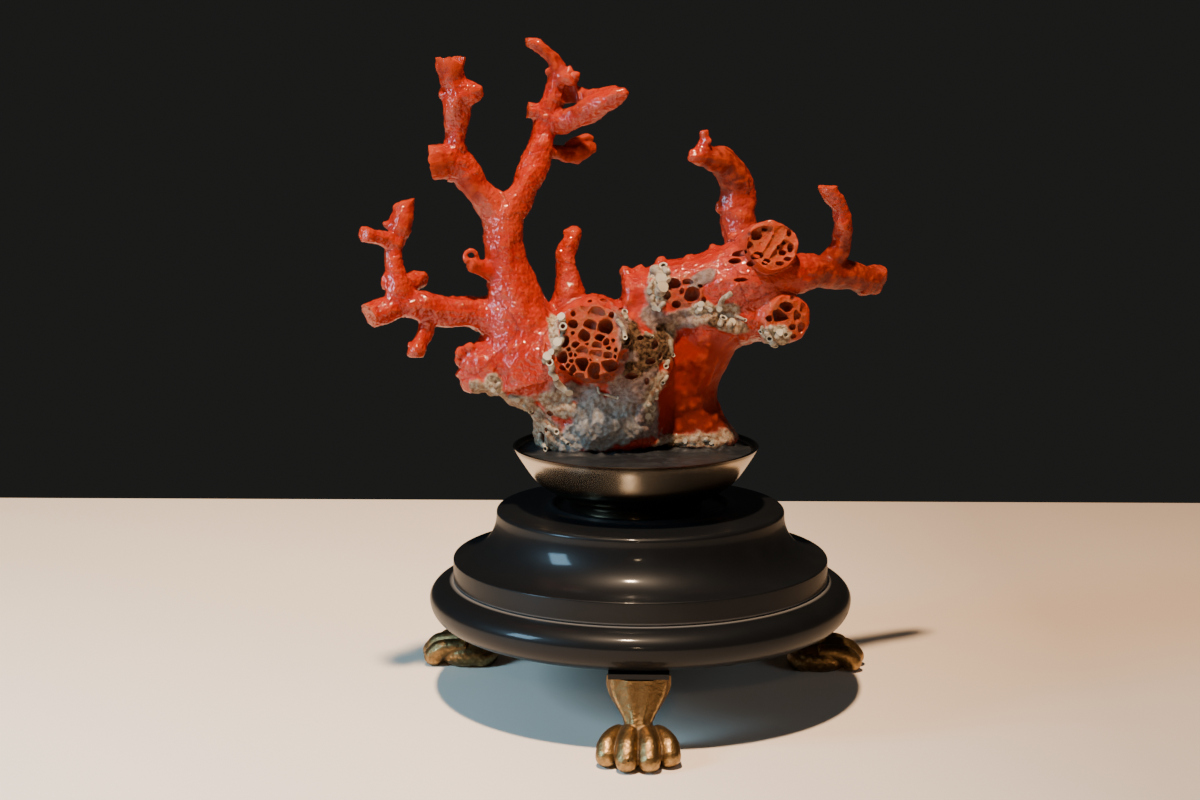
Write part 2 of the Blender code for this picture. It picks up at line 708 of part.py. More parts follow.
def build_feet(parent, material):
    """Model one lion paw and stand three of it under the moulding."""
    bm = bmesh.new()
    add_leg(bm)
    for x, y, z, wide, deep, high in PAW_PALM:
        add_ellipsoid(bm, (x, y, z), (wide, deep, high))
    for x, y, z, wide, deep, high in PAW_TOES:
        add_ellipsoid(bm, (-x, y, z), (wide, deep, high))
        add_ellipsoid(bm, (x, y, z), (wide, deep, high))
    paw = thinned(melted(bm, "paw", FOOT_VOXEL, FOOT_SMOOTHING), "paw", FOOT_FACES)
    paw = cut_away(paw, block_mesh((-REACH, -REACH, -REACH), (REACH, REACH, 0), "ground"), "paw")
    above = block_mesh((-REACH, -REACH, FOOT_HEIGHT), (REACH, REACH, REACH), "above_the_leg")
    paw = cut_away(paw, above, "paw")
    paw.materials.append(material)
    for side, azimuth in FOOT_AZIMUTHS.items():
        foot = add_object(side + "_foot", paw, parent)
        foot.rotation_euler.z = math.radians(azimuth)


def build_foot_blocks(parent, material):
    """Add the thin pads between the feet and the moulding."""
    half = FOOT_BLOCK_WIDTH / 2
    pad = block_mesh((-half, -FOOT_BLOCK_OUTER, FOOT_HEIGHT + GAP),
                     (half, -FOOT_BLOCK_INNER, MOULDING_BOTTOM - GAP), "foot_block")
    pad.materials.append(material)
    for side, azimuth in FOOT_AZIMUTHS.items():
        block = add_object(side + "_foot_block", pad, parent)
        block.rotation_euler.z = math.radians(azimuth)


def main():
    """Build the whole object under one empty."""
    remove_old_objects()
    stand = add_object("stand_axis", None)
    stand.location = (STAND_X * MM, STAND_Y * MM, 0.0)
    coral = principled("red_coral", (0.62, 0.07, 0.03), 0.28, 0.0)
    ebonised = principled("ebonised_wood", (0.012, 0.011, 0.012), 0.22, 0.0)
    wax = principled("black_filling", (0.010, 0.011, 0.012), 0.55, 0.0)
    silvered = principled("gilt_metal", (0.66, 0.55, 0.42), 0.30, 1.0)
    bronze = principled("cast_bronze", (0.42, 0.25, 0.09), 0.38, 1.0)
    build_coral(stand, coral)
    build_cup(stand, silvered)
    build_fill(stand, wax)
    build_plinth(stand, ebonised)
    build_moulding(stand, ebonised)
    build_foot_blocks(stand, ebonised)
    build_feet(stand, bronze)


main()
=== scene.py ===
"""The red coral colony in its cup and stand, dressed and lit for the camera.

Shapes are worked out in the stand's own frame, in millimetres: the stand's axis is x = y = 0, the
viewer is on the -Y side and the table is z = 0. The lower moulding of the frame says where that
axis stands, and each finished piece is carried into the frame, in metres, by one matrix.
"""
import logging
import math
import random
from collections.abc import Iterator, Sequence
from dataclasses import dataclass
from enum import Enum

import bmesh
import bpy
import numpy as np
from mathutils import Matrix, Quaternion, Vector, kdtree, noise
from mathutils.bvhtree import BVHTree


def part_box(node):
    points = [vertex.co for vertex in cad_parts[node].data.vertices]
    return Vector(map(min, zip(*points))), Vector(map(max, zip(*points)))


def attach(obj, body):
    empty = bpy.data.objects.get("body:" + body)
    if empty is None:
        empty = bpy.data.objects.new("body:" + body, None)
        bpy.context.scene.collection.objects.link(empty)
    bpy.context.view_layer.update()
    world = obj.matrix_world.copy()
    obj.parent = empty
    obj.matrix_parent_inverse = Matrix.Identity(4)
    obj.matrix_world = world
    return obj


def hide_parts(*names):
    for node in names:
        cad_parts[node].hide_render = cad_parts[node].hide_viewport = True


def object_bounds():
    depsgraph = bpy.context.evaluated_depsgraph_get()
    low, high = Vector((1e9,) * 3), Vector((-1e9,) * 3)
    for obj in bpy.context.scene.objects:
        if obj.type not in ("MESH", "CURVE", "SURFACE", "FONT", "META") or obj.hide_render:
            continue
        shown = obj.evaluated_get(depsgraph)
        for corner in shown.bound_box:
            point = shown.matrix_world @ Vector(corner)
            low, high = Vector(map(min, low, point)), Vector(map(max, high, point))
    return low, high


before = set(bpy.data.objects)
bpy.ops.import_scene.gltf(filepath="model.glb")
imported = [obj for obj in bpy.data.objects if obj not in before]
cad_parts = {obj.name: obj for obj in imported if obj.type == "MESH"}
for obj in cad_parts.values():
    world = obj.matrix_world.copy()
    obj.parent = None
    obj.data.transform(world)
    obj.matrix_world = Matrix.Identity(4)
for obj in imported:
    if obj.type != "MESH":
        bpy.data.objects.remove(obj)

logging.basicConfig(level=logging.INFO, format="%(name)s: %(message)s")
LOG = logging.getLogger("coral_scene")

MM = 0.001
BODY = "root"
IN_FRONT = 95.0               # rays at the coral start this far in front of the stand's axis
BACKWARD = Vector((0.0, 1.0, 0.0))
NOISE_SEED = 11               # unless it is set, the vector noise follows the clock
CORAL_NODES = (
    "coral_base", "coral_trunk", "coral_upper_left_branch", "coral_upper_right_branch",
    "coral_left_branch", "coral_spike", "coral_horn_branch", "coral_right_branch",
)

Colour = tuple[float, float, float]
Row = tuple[float, float, float, float]
Route = tuple[Row, ...]
Point = tuple[float, float, float]
Socket = bpy.types.NodeSocket


def corners() -> list[list[float]]:
    """Return the lowest and the highest corner of what is shown, as plain lists."""
    return [list(corner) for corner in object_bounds()]


CAD_CORNERS = corners()


def stand_axis() -> Vector:
    """Return where the stand's axis meets the table, in the frame."""
    low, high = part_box("lower_moulding")
    middle = (low + high) / 2
    return Vector((middle.x, middle.y, 0.0))


TO_ROW = Matrix.Translation(stand_axis()) @ Matrix.Scale(MM, 4)


class Slot(Enum):
    """The record's material slots."""

    CORAL = "red_coral"
    METAL = "gilt_metal"
    FILLING = "black_filling"
    WOOD = "ebonised_wood"
    BRONZE = "cast_bronze"


# Routes of the branches. Every row is x, y, z and the radius there.
TRUNK: Route = (
    (-35, 0, 106, 16), (-38.5, 0, 118, 14), (-40.5, -1, 128, 11.2), (-42, -1.5, 136, 8.4),
    (-43.6, -2, 142.5, 7.1), (-44.2, -2, 149, 6.6), (-44.2, -2, 156, 6.6), (-45, -2, 161.5, 6.1),
)
UPPER_LEFT: Route = (
    (-45, -2, 159.5, 5.6), (-50.8, -3, 165.5, 4.6), (-55.8, -4, 172.7, 5), (-59.3, -5, 179, 4.5),
    (-59.6, -6, 184.5, 4), (-58.8, -7, 191, 4.1), (-58.9, -8, 197.2, 4.6), (-60.3, -9, 203.5, 4.4),
    (-60.5, -10, 208.5, 4.8), (-60.5, -10, 213, 5),
)
UPPER_LEFT_BLOCK: Route = (
    (-57.5, -5, 175.5, 4.8), (-62.5, -7, 176.8, 5.7), (-67.2, -9, 177, 6.2), (-71.5, -10, 177, 6.2),
)
UPPER_LEFT_KNOB: Route = (
    (-58, -8, 199, 3.8), (-54.8, -9, 199.1, 3.7), (-51.8, -9.5, 199.3, 2.1), (-50.2, -9.5, 199.5, 1),
)
UPPER_RIGHT: Route = (
    (-44, -2, 160, 5.8), (-39, 0, 166.3, 4.7), (-35.9, 3, 173, 4.7), (-33.7, 5, 179, 4.4),
    (-32.1, 7, 184.8, 3.9), (-30.8, 8, 190.6, 4.4), (-28.8, 8, 197, 3.6), (-27.8, 8, 202.2, 3.5),
    (-27.8, 8, 207, 2.8), (-30.7, 7, 211.6, 2.3), (-34.8, 6, 213.9, 2.1), (-39.5, 5, 214.9, 1.9),
)
UPPER_RIGHT_KNOB: Route = (
    (-31, 8, 191.5, 3.4), (-35, 7, 192.8, 3.1), (-39, 6.3, 193.2, 3),
)
UPPER_RIGHT_CREST: Route = (
    (-27.2, 8, 202.8, 3.1), (-23.8, 5, 203.4, 3.1), (-21.8, 3.5, 203.8, 2.2),
)
POINTED_ARM: Route = (
    (-29.5, 8, 188.5, 3.8), (-23.2, 4, 190.2, 4.1), (-15.9, -1, 193.8, 4.2), (-10.3, -5, 196.4, 3.6),
    (-6.6, -7.6, 198.4, 2.4), (-4.7, -8.5, 199.7, 1.1),
)
POINTED_ARM_EDGE: Route = (
    (-26.6, 8, 197.8, 3), (-20, 6, 198.1, 2.5), (-12.7, 0.5, 198.4, 2.2), (-5.6, -7.5, 199.6, 1.2),
)
REAR_STUB: Route = (
    (-31.3, 7, 179.4, 3), (-26.1, 12, 179, 2.7), (-21.5, 16, 178.6, 3.2), (-17, 18.5, 179.6, 2.3),
    (-14.9, 19, 180.1, 1.2),
)
REAR_STUB_LOBES: Route = (
    (-20.2, 16.5, 180, 2.6), (-21, 17, 177, 2), (-21.4, 17, 175.3, 1.1),
)
REAR_STUB_CREST: Route = (
    (-25, 15, 181.2, 1.4), (-21.4, 17, 183, 1.5), (-18.2, 18, 183.4, 1.5), (-16.8, 18.5, 182.2, 1.4),
)
LEFT_ARM: Route = (
    (-42, -1, 125.5, 7.5), (-48, -2.5, 126.8, 6.6), (-54.5, -4, 128.4, 5.4), (-65, -8, 129.3, 5.1),
    (-71.7, -11, 131.2, 4.8), (-77.3, -13, 131.8, 4.6), (-82.2, -15, 130, 4.2),
    (-86.6, -17, 128, 4.2), (-91.5, -19, 125.6, 4.1),
)
LEFT_ARM_DROP: Route = (
    (-68.6, -10, 128, 3.6), (-69.4, -11, 123.3, 2.6), (-70.6, -12, 120, 2.7),
    (-72.5, -13, 116.4, 3.4), (-73, -13, 114.6, 2.8),
)
LEFT_ARM_RISE: Route = (
    (-76.8, -13, 132, 4.7), (-78.4, -13, 139, 4.1), (-78.6, -12, 145, 3.2),
    (-78.8, -11, 149.1, 3.1), (-78.2, -10, 152.8, 3.3), (-77.2, -9, 157, 3.9),
    (-76.2, -8.5, 160.6, 3.4), (-75.2, -8, 163.6, 2.6), (-73.9, -8, 166.2, 1.6),
)
LEFT_ARM_SIDE: Route = (
    (-78.6, -11, 151.2, 2.9), (-82.6, -14, 152.9, 2.6), (-86, -17, 154, 2.6),
    (-88.2, -19.4, 154.6, 2.3),
)
LEFT_ARM_KNOB: Route = (
    (-76, -8, 137, 3.2), (-72.7, -4, 138.8, 3.4), (-72.4, -3, 140.2, 2.9),
)
TRUNK_KNOB: Route = (
    (-45.5, -3, 141, 4.4), (-50.4, -6, 142.4, 3.2), (-53.2, -8, 143.6, 2.5), (-55.4, -9.5, 144.4, 2.1),
)
TRUNK_CURL: Route = (
    (-52.6, -8.3, 145.2, 1), (-52.7, -8.8, 147.4, 0.85), (-54, -9, 149, 0.8), (-55.9, -9.2, 148.5, 0.8),
    (-56.5, -9.4, 146.8, 0.8), (-55.8, -9.4, 145, 1),
)
SPIKE: Route = (
    (-24, 3, 128, 6.6), (-24, 5, 135.9, 4.4), (-24.8, 6, 141.1, 3.4), (-24.7, 7, 147, 3.1),
    (-23.1, 8, 151.5, 2.9), (-22.2, 9, 154, 2.4),
)
HORN: Route = (
    (34, 6, 138, 7.5), (33.2, 8, 145, 6), (32.5, 10, 151.5, 5.6), (31.9, 12, 160.5, 6),
    (31.5, 12, 167, 5.7), (30.3, 11, 172, 5.7), (27.4, 9, 175.9, 5), (23, 6, 177.6, 4),
    (19, 3.4, 178.6, 3), (16.4, 1.5, 178.8, 2.1), (14.9, 1, 178.9, 1.2),
)
HORN_TIP: Route = (
    (22, 5.5, 178.5, 2.8), (20.9, 4, 182, 1.9), (21.1, 3, 184.2, 1.6), (20.6, 3, 186.6, 1.5),
)
RIGHT_ARM: Route = (
    (40, 0, 140.5, 9.5), (47, 0.5, 140.6, 7.4), (52.5, 2, 141, 6.3), (57.9, 5, 140.9, 5.4),
    (63.9, 9, 139.8, 4.9), (69, 12, 138.6, 4.8), (75, 16, 137.3, 4.3), (79.4, 18.5, 138.6, 3.5),
    (82, 19.5, 139.5, 2.4),
)
RIGHT_ARM_LOBE: Route = (
    (73.5, 15, 136, 3.9), (78.2, 18.5, 134.4, 3), (80, 19, 133.4, 2),
)
RIGHT_ARM_RISE: Route = (
    (60.5, 7, 140.5, 4.6), (65, 8, 147.7, 3.5), (66, 6, 152.6, 3.3), (65.9, 4, 157.4, 3.3),
    (64.4, 3, 162, 3.1), (61.8, 2, 165.6, 3.1), (60.7, 1, 169, 3.1), (60.3, 1, 172.5, 3.1),
)
PILLAR: Route = (
    (24, 3, 128, 12.5), (20, 4, 119, 12), (16.3, 5.5, 110, 11.2), (15, 7, 99, 10.3),
    (16.5, 8, 90, 12), (18.5, 9, 80, 15),
)
WING: Route = (
    (-5, 4, 129.5, 11.5), (8, 4, 131.5, 12.2), (22, 4, 135, 12.5), (34, 3, 138.5, 13.5),
    (41, 2.5, 138.5, 12), (46, 2.5, 139.5, 8.5),
)
LEFT_FOOTING: Route = (
    (-21, 0, 100, 15), (-20.5, 1, 90, 14), (-20, 3, 78, 14.5),
)
BORED_STUMP: Route = (
    (-13, -3, 117, 13.5), (-15, -11, 119.2, 12.4), (-17, -17, 120.8, 12), (-18.2, -21, 121.8, 11.5),
)
RIGHT_STUMP: Route = (
    (36, 6, 142, 11), (40, -1, 147.5, 9.6), (41.3, -6.5, 150, 8.8), (42.2, -11, 151.8, 8.2),
)
LOW_KNOB: Route = (
    (40, 3, 127, 8.5), (45.5, -4, 126.5, 8.6), (47.2, -9, 126.8, 7.6),
)
MASSIVE_ROUTES = (TRUNK[:3], PILLAR, WING, LEFT_FOOTING, RIGHT_ARM[:2], LEFT_ARM[:2])
BRANCH_ROUTES = (
    TRUNK, TRUNK_KNOB, UPPER_LEFT, UPPER_LEFT_BLOCK, UPPER_LEFT_KNOB, UPPER_RIGHT, UPPER_RIGHT_KNOB,
    UPPER_RIGHT_CREST, POINTED_ARM, POINTED_ARM_EDGE, REAR_STUB, REAR_STUB_LOBES, REAR_STUB_CREST,
    TRUNK_CURL, LEFT_ARM, LEFT_ARM_DROP, LEFT_ARM_RISE, LEFT_ARM_SIDE, LEFT_ARM_KNOB, SPIKE, HORN,
    HORN_TIP, RIGHT_ARM, RIGHT_ARM_LOBE, RIGHT_ARM_RISE, BORED_STUMP, RIGHT_STUMP, LOW_KNOB,
)
GRAIN_ROUTES = BRANCH_ROUTES + (PILLAR, WING, LEFT_FOOTING)

# Lumps of the massive foot of the colony: centre x, y, z and half sizes along x, y, z.
FOOT_LUMPS = (
    (-31, 1, 109, 19, 16, 14.5), (-48.5, -4, 111.5, 11, 9.5, 8.5), (-54, -7, 107, 5, 6, 4.5),
    (-16, 1, 99, 19, 15, 15), (-16, 1, 117, 17, 15, 17), (-8, 0, 91, 16, 13, 12),
    (-28, -5, 113, 12, 11, 13), (-2, -3, 111, 12, 12, 17), (0, 4, 106, 14, 13, 19),
    (34, 2, 126, 14, 10, 8.5), (-14, -9, 93, 10, 6, 7), (-40, 10, 118, 9, 8, 9),
    (8, 12, 121, 10, 7, 11), (-54.6, -7.5, 112.2, 4.4, 5, 5.4),
)

# Small lumps that give the ends and rims their broken look.
RAGGED_LUMPS = (
    (-64.2, -10, 207.2, 1.5, 2.2, 1.9), (-63.7, -9, 198.3, 1.5, 1.6, 1.9),
    (-81.2, -9.5, 157.4, 2, 1.8, 1.7), (-78.2, -8.5, 162.4, 1.7, 1.8, 1.6),
    (-81.8, -13, 139.5, 1.9, 2.2, 3.2), (-74.9, -13, 118.2, 1, 1.2, 1.1),
    (-22.4, 9, 154, 2.2, 2.2, 1.7), (-24.8, 8.6, 153.4, 1.4, 1.8, 1.5),
    (-30.7, 7, 205.2, 1.1, 1.2, 1.4), (-25.5, 6, 205.8, 1.2, 1.3, 1.3),
    (-23.3, 4.6, 206, 1.1, 1.3, 1.2), (-21, 3.4, 204.6, 1.2, 1.3, 1.2),
    (20.6, 3.8, 181.4, 2.5, 2.2, 1.5), (21.6, 3.2, 183.6, 2, 1.9, 1.3), (26, 10, 161, 1.5, 1.8, 2.1),
    (17.6, 2.4, 180.2, 1.3, 1.5, 1.2), (75.6, 16.5, 133.8, 1.7, 2, 1.4),
    (-58.4, -9.4, 115.6, 1.7, 2.2, 1.8), (-58.8, -8.6, 112.2, 1.5, 2.2, 1.5),
    (-58, -8, 108.6, 1.8, 2.4, 1.6), (-55.6, -9, 117.6, 1.8, 2.2, 1.5),
    (-5.2, 4, 141, 2.4, 3, 2.4), (6.4, 3, 143.4, 1.8, 2.6, 1.9), (15.8, 3, 145.2, 2.2, 2.6, 1.7),
    (23.2, 4, 148.2, 1.7, 2.6, 1.7), (-0.8, 4, 141.8, 2, 2.8, 1.5), (30.4, 2, 152.6, 2, 2.4, 1.4),
)

# Flat breaks, cut in two rounds: a point on each, the way it faces and half its width and depth.
BREAKS = (
    (
        ((-60.5, -10, 209.8), (-0.05, 0, 1), (7, 7)),
        ((-66.9, -9, 177), (-0.99, 0, -0.12), (11, 11)),
        ((-36.7, 6, 214.2), (-0.88, -0.40, -0.15), (4, 4)),
        ((-36.9, 6.5, 193), (-1, -0.10, 0.10), (5, 5)),
        ((60.6, 1, 168.9), (-0.05, -0.12, 1), (5, 5)),
        ((-86.4, -17.4, 128.4), (-0.80, -0.46, -0.38), (7, 7)),
        ((-16.5, -18.4, 119.8), (-0.30, -0.92, 0.24), (15, 15)),
        ((41.8, -8.9, 151), (0.15, -0.92, 0.36), (10, 10)),
    ),
    (
        ((-68, -9, 182.4), (0, 0, 1), (4.9, 10)),
        ((-67.4, -9, 171.6), (0, 0, -1), (5.4, 10)),
        ((-59.4, -12, 209.2), (0.3, -0.2, 0.93), (2.2, 9)),
    ),
)


class Crust(Enum):
    """The growths that cover parts of the coral, by the name of their mask."""

    WOOLLY = "crust_woolly"
    LILAC = "crust_lilac"
    BEIGE = "crust_beige"
    BROWN = "crust_brown"
    PALE = "crust_pale"
    ROSY = "rosy"                 # not a growth: rubbed, smooth and pinkish skin


@dataclass(frozen=True)
class Patch:
    """A soft-edged patch, placed as seen from the front or the back."""

    x: float
    z: float
    half_width: float
    half_height: float
    lean: float = 0.0             # degrees, anticlockwise as seen from the front
    side: int = -1                # -1 faces the viewer, 1 faces away

    def reach(self, places: np.ndarray) -> np.ndarray:
        """Return how far out each place lies, 1 being the patch's own edge.

        Args:
            places: What to look up, one row each.

        Returns:
            One number for each place.
        """
        lean = math.radians(self.lean)
        right, up = places[:, 0] - self.x, places[:, 2] - self.z
        one = (right * math.cos(lean) + up * math.sin(lean)) / self.half_width
        other = (up * math.cos(lean) - right * math.sin(lean)) / self.half_height
        return np.hypot(one, other)


# The patches' rows, by kind.
PATCHES = {
    Crust.LILAC: (
        (-4, 105, 8.5, 8), (0.5, 113, 6.5, 11), (4, 127.5, 3.6, 7.5, 12),
        (-19, 102.6, 9, 3.4, -14), (-6.5, 124, 3.4, 6.5, 20), (12.5, 126.5, 8.5, 3.6, 22),
        (0.5, 95, 6, 8.5), (19.5, 139.5, 4.6, 2.2, 38), (-8, 104, 14, 13, 0, 1),
    ),
    Crust.WOOLLY: (
        (-12.5, 93.5, 11, 8.5), (-21, 88, 7, 6), (-16, 88, 14, 7, 0, 1),
    ),
    Crust.BROWN: (
        (3.6, 117, 5.6, 7.5), (-2.5, 121, 3.6, 4.2), (24, 126, 3, 1.8), (-2, 111, 3.6, 3),
        (4, 112, 7, 8, 0, 1),
    ),
    Crust.BEIGE: (
        (-47.5, 101.5, 8.5, 3.2, -30), (-37.5, 96.5, 8, 4.4, -34), (-30.5, 88, 7, 7.5, -40),
        (-25.5, 98.6, 7.5, 4.2, -12), (10.5, 85, 8, 2.4, 8), (25.5, 128.6, 7.5, 3.2, 14),
        (8.2, 118, 2.4, 7, -20), (5, 105.5, 2.4, 6.5, -24), (24, 86, 6.5, 3.2),
        (29.5, 124.4, 6.5, 2.2, -14), (-30, 92, 20, 11, 8, 1), (20, 86, 14, 4, 0, 1),
        (-44, 104, 9, 5, -24, 1),
    ),
    Crust.PALE: (
        (6.4, 138, 3.4, 6.2), (43.6, 121.6, 5, 3.8), (19.4, 130.2, 4.2, 1.7, 14),
        (-27.5, 121, 1.9, 6.5, 12), (3.2, 96.5, 1.8, 4.5), (-47.5, 105.5, 2.6, 3.4, 12),
        (12, 122, 5, 4, 30, 1), (30, 119, 6, 3, 0, 1),
    ),
    Crust.ROSY: (
        (4, 128.5, 9, 7), (32, 159, 6.5, 15), (-53, 164, 6, 5, 40), (34, 137, 9, 5, -20),
        (-44, 131, 5, 5), (-29, 112, 4.5, 7), (78, 138, 8, 5), (62, 160, 5, 10), (-34, 105, 8, 4),
        (27, 116, 3, 9, -30), (-24, 139, 3.2, 9),
    ),
}


@dataclass(frozen=True)
class BoredFace:
    """A broken stump that boring animals have hollowed out.

    Each cell's row is its place to the right and up on the face, its half width, half height
    and depth. A dish is cut before the cells.
    """

    point: Point
    outward: Point
    cells: tuple[tuple[float, float, float, float, float], ...]
    dishes: tuple[tuple[float, float, float, float, float], ...] = ()

    def axes(self) -> Matrix:
        """Return the matrix from the face's right, up and outward axes to the stand's frame."""
        outward = Vector(self.outward).normalized()
        right = Vector((0, 0, 1)).cross(outward).normalized()
        up = outward.cross(right)
        turn = Matrix((right, up, outward)).transposed().to_4x4()
        return Matrix.Translation(Vector(self.point)) @ turn

    def local(self, places: np.ndarray) -> np.ndarray:
        """Return each place to the right, up and outward of the face's middle."""
        return np.column_stack((places, np.ones(len(places)))) @ np.array(self.axes().inverted()).T


BORED_FACES = (
    BoredFace((-15.9, -17, 119.4), (-0.30, -0.92, 0.24), (
        (-2.6, 12.3, 1.1, 1.2, 3.5), (-0.3, 15.8, 0.9, 0.8, 1.4), (3.4, 16.6, 1, 0.7, 1.4),
        (1.5, 9.9, 2.2, 1.7, 1.6), (-6.3, 6.2, 1.4, 1.1, 3), (0, 6.2, 1.9, 1.4, 2.8),
        (4.6, 5.7, 2, 2, 4.6), (-2, 2.6, 1.5, 1.8, 3.4), (3.4, 2.3, 1.4, 0.9, 4.6),
        (-5.9, 3.4, 0.5, 0.5, 2), (-8.4, 0.6, 1.1, 1.6, 4.6), (-4.6, -0.4, 1.2, 0.8, 2.8),
        (-6.9, -1.9, 0.6, 0.6, 2.4), (7.8, 1.6, 0.5, 0.5, 2.4), (5.6, 0.9, 0.8, 1.1, 2.2),
        (6.5, -0.9, 0.6, 0.6, 2.4), (2.6, -0.2, 1.3, 1, 1.4), (-2.6, -2.2, 2, 1.2, 1.6),
        (2.6, -3.2, 1.8, 1.5, 1.5), (-8.9, -4.6, 1.4, 1.6, 4.6), (-5.6, -5.6, 0.8, 0.5, 2.2),
        (-6.6, -7.2, 0.7, 0.7, 2.2), (-9, -7.7, 0.8, 0.6, 2.6), (-7, -9.2, 0.6, 0.5, 2.2),
        (-2, -6.6, 2.2, 1.8, 5.6), (-4.9, -8.2, 0.9, 1.3, 3), (2.1, -8.4, 1.5, 2.9, 5.6),
        (6.9, -6.2, 2, 1.6, 5.6), (-2.6, -10.3, 1.7, 0.8, 4.4), (5, -9.6, 1, 0.9, 1.8),
        (6.4, -3.3, 1.6, 0.9, 1.6), (9, -1.4, 0.5, 0.6, 2.2), (-4.4, -3.6, 0.5, 0.5, 1.8),
        (-6.2, -3.6, 0.6, 0.7, 2.2), (-9.4, 3.6, 0.8, 0.9, 2.6), (-6.4, 9.6, 0.6, 0.7, 1.8),
        (6.6, 9.6, 0.7, 0.9, 2.2), (-0.9, 0.1, 0.5, 0.4, 1.6), (8.9, -3.6, 0.4, 0.6, 2),
        (5.6, 13.2, 0.6, 0.5, 1.2), (-4.4, 15, 0.5, 0.5, 1.2), (0.7, -5, 0.4, 0.4, 1.6),
    )),
    BoredFace((41.2, -6.6, 150.2), (0.15, -0.92, 0.36), (
        (-4.7, 3.2, 1.7, 1.1, 2.6), (-4.4, -3.6, 1.3, 0.8, 2.6), (-1.8, -5.6, 0.9, 0.6, 2.4),
        (2.4, -6.4, 1.1, 0.6, 2.2), (3.8, -2.6, 0.9, 0.7, 2.6), (6.4, -1.2, 0.7, 1.1, 2.6),
        (4.4, 0.6, 0.5, 0.5, 2.4), (-9.6, -1.6, 1.6, 0.9, 2.6), (-7, 3.4, 0.9, 0.7, 2),
        (-6.6, -0.4, 0.8, 1.3, 2.2), (-1.6, 5.2, 0.7, 0.5, 2.2), (6.2, 3.6, 0.6, 0.9, 2),
        (5.2, -4.9, 0.9, 0.6, 2.2), (2.4, -0.9, 0.5, 0.4, 2.2), (-6.3, -5.6, 1, 0.7, 2.4),
    ), ((-1.4, 1.4, 4.3, 3.3, 2), (2.6, -1.8, 3.6, 3, 1.6), (0.6, 0.2, 5.4, 4.7, 0.7))),
    BoredFace((47.2, -9.4, 126.8), (0.25, -0.97, 0), (
        (-2.6, 1.2, 2.6, 1.5, 3.8), (-0.4, 3.8, 1.9, 1.3, 3.6), (2.4, 6.8, 0.9, 0.7, 2),
        (-5.9, 0.4, 1, 0.8, 2.4), (3.4, 1, 0.9, 2, 1.8), (5.4, 3, 0.8, 1.9, 1.5),
        (4.8, -2.8, 0.9, 1.5, 1.4), (1.8, -2.6, 0.9, 0.8, 1.8), (2, -5.6, 0.8, 0.6, 1.4),
    )),
    BoredFace((-22.8, 0, 196.8), (0.10, -0.99, 0.10), (), ((0, 0, 2, 4.6, 1.6),)),
    BoredFace((14, -7.8, 135), (-0.05, -1, 0.05), (
        (-3.9, 2.9, 2.1, 1.5, 3.4), (2.3, -0.4, 1.9, 2, 3.6), (-2.6, -3.6, 1.1, 0.9, 2.8),
        (1, 3.6, 1.4, 0.8, 1.6), (-5.6, -0.6, 0.9, 1.1, 2.4), (5, 2.4, 0.6, 0.5, 1.8),
        (-0.8, 0.6, 0.6, 0.9, 1.4), (6.2, -2.2, 0.6, 0.9, 1.6),
    )),
    BoredFace((31, -7.8, 145.4), (0, -0.95, 0.30), (
        (-0.9, 0.2, 1.5, 0.7, 3), (2.2, 2.8, 1, 0.5, 2.2), (5.4, 0.6, 1.2, 0.6, 2.2),
        (0.8, -6.2, 1.7, 0.5, 2.4), (8.4, -1.4, 0.7, 0.5, 1.6),
    )),
    BoredFace((-1.6, -12.4, 112), (0.1, -0.99, 0.1), (
        (-3.6, 8.4, 1.2, 1, 2.6), (4.6, 1.4, 1.3, 0.8, 2.6), (-1.6, -3.2, 1.6, 0.8, 2.6),
        (6.2, 6.6, 0.9, 1.2, 2.2), (1.4, 9, 0.8, 0.6, 1.8), (3.4, -5, 0.6, 0.9, 1.8),
        (-3.8, 3.2, 0.9, 1.1, 2), (8, 3.2, 0.6, 1, 2),
    )),
    BoredFace((-31.6, -6.2, 87.2), (-0.4, -0.9, 0), (
        (-0.6, 0, 1.1, 1.5, 3), (4.2, 9, 0.9, 0.7, 2), (-9.4, 13.4, 1.3, 0.8, 2.4),
        (-2.6, 9, 0.9, 0.6, 1.8), (-16.6, 17.6, 0.9, 0.7, 2), (2.6, 3.4, 0.5, 0.6, 1.4),
    )),
)

# Smaller stumps whose broken face is as pale as the large one's: a middle and how far it reaches.
SMALL_STUMPS = (((41.8, -8.9, 151), 8.8), ((46, -9, 126.5), 8.6), ((14, -7.8, 135), 7))

# Smooth places: a middle, how far it reaches, how smooth and how deep red it is, from 0 to 1; the deep red is
# partly painted shade, most of all on the horn's top and the right arm.
SMOOTH_SPOTS = (
    (18, 0, 103, 22, 0.95, 0.45), (27, 8, 174, 10, 0.8, 0.85), (32, 10, 160, 8, 0.5, 0.35),
    (-66, -9, 177, 6, 0.7, 0.35), (-55, -5, 168, 5, 0.8, 0.35), (3, -3, 128, 10, 0.8, 0.1),
    (68, 12, 138, 17, 0.6, 0.75), (-21, 16, 180, 9, 0.8, 0.5), (-61, -10, 208, 6, 0.8, 0.4),
    (-51, -9, 144, 6, 0.8, 0), (-30, 6, 209, 7, 0.7, 0.5),
    (-16, -14, 119, 15, 0.9, 0.35), (41, -4, 150, 11, 0.6, 0.4), (47, -6, 126, 9, 0.5, 0.4),
    (45, 0, 138, 9, 0.5, 0.25), (63, 6, 160, 12, 0.2, 0), (-78, -9, 160, 8, 0.4, 0.2),
    (-22, 2, 196, 6, 0.6, 0.5),
)

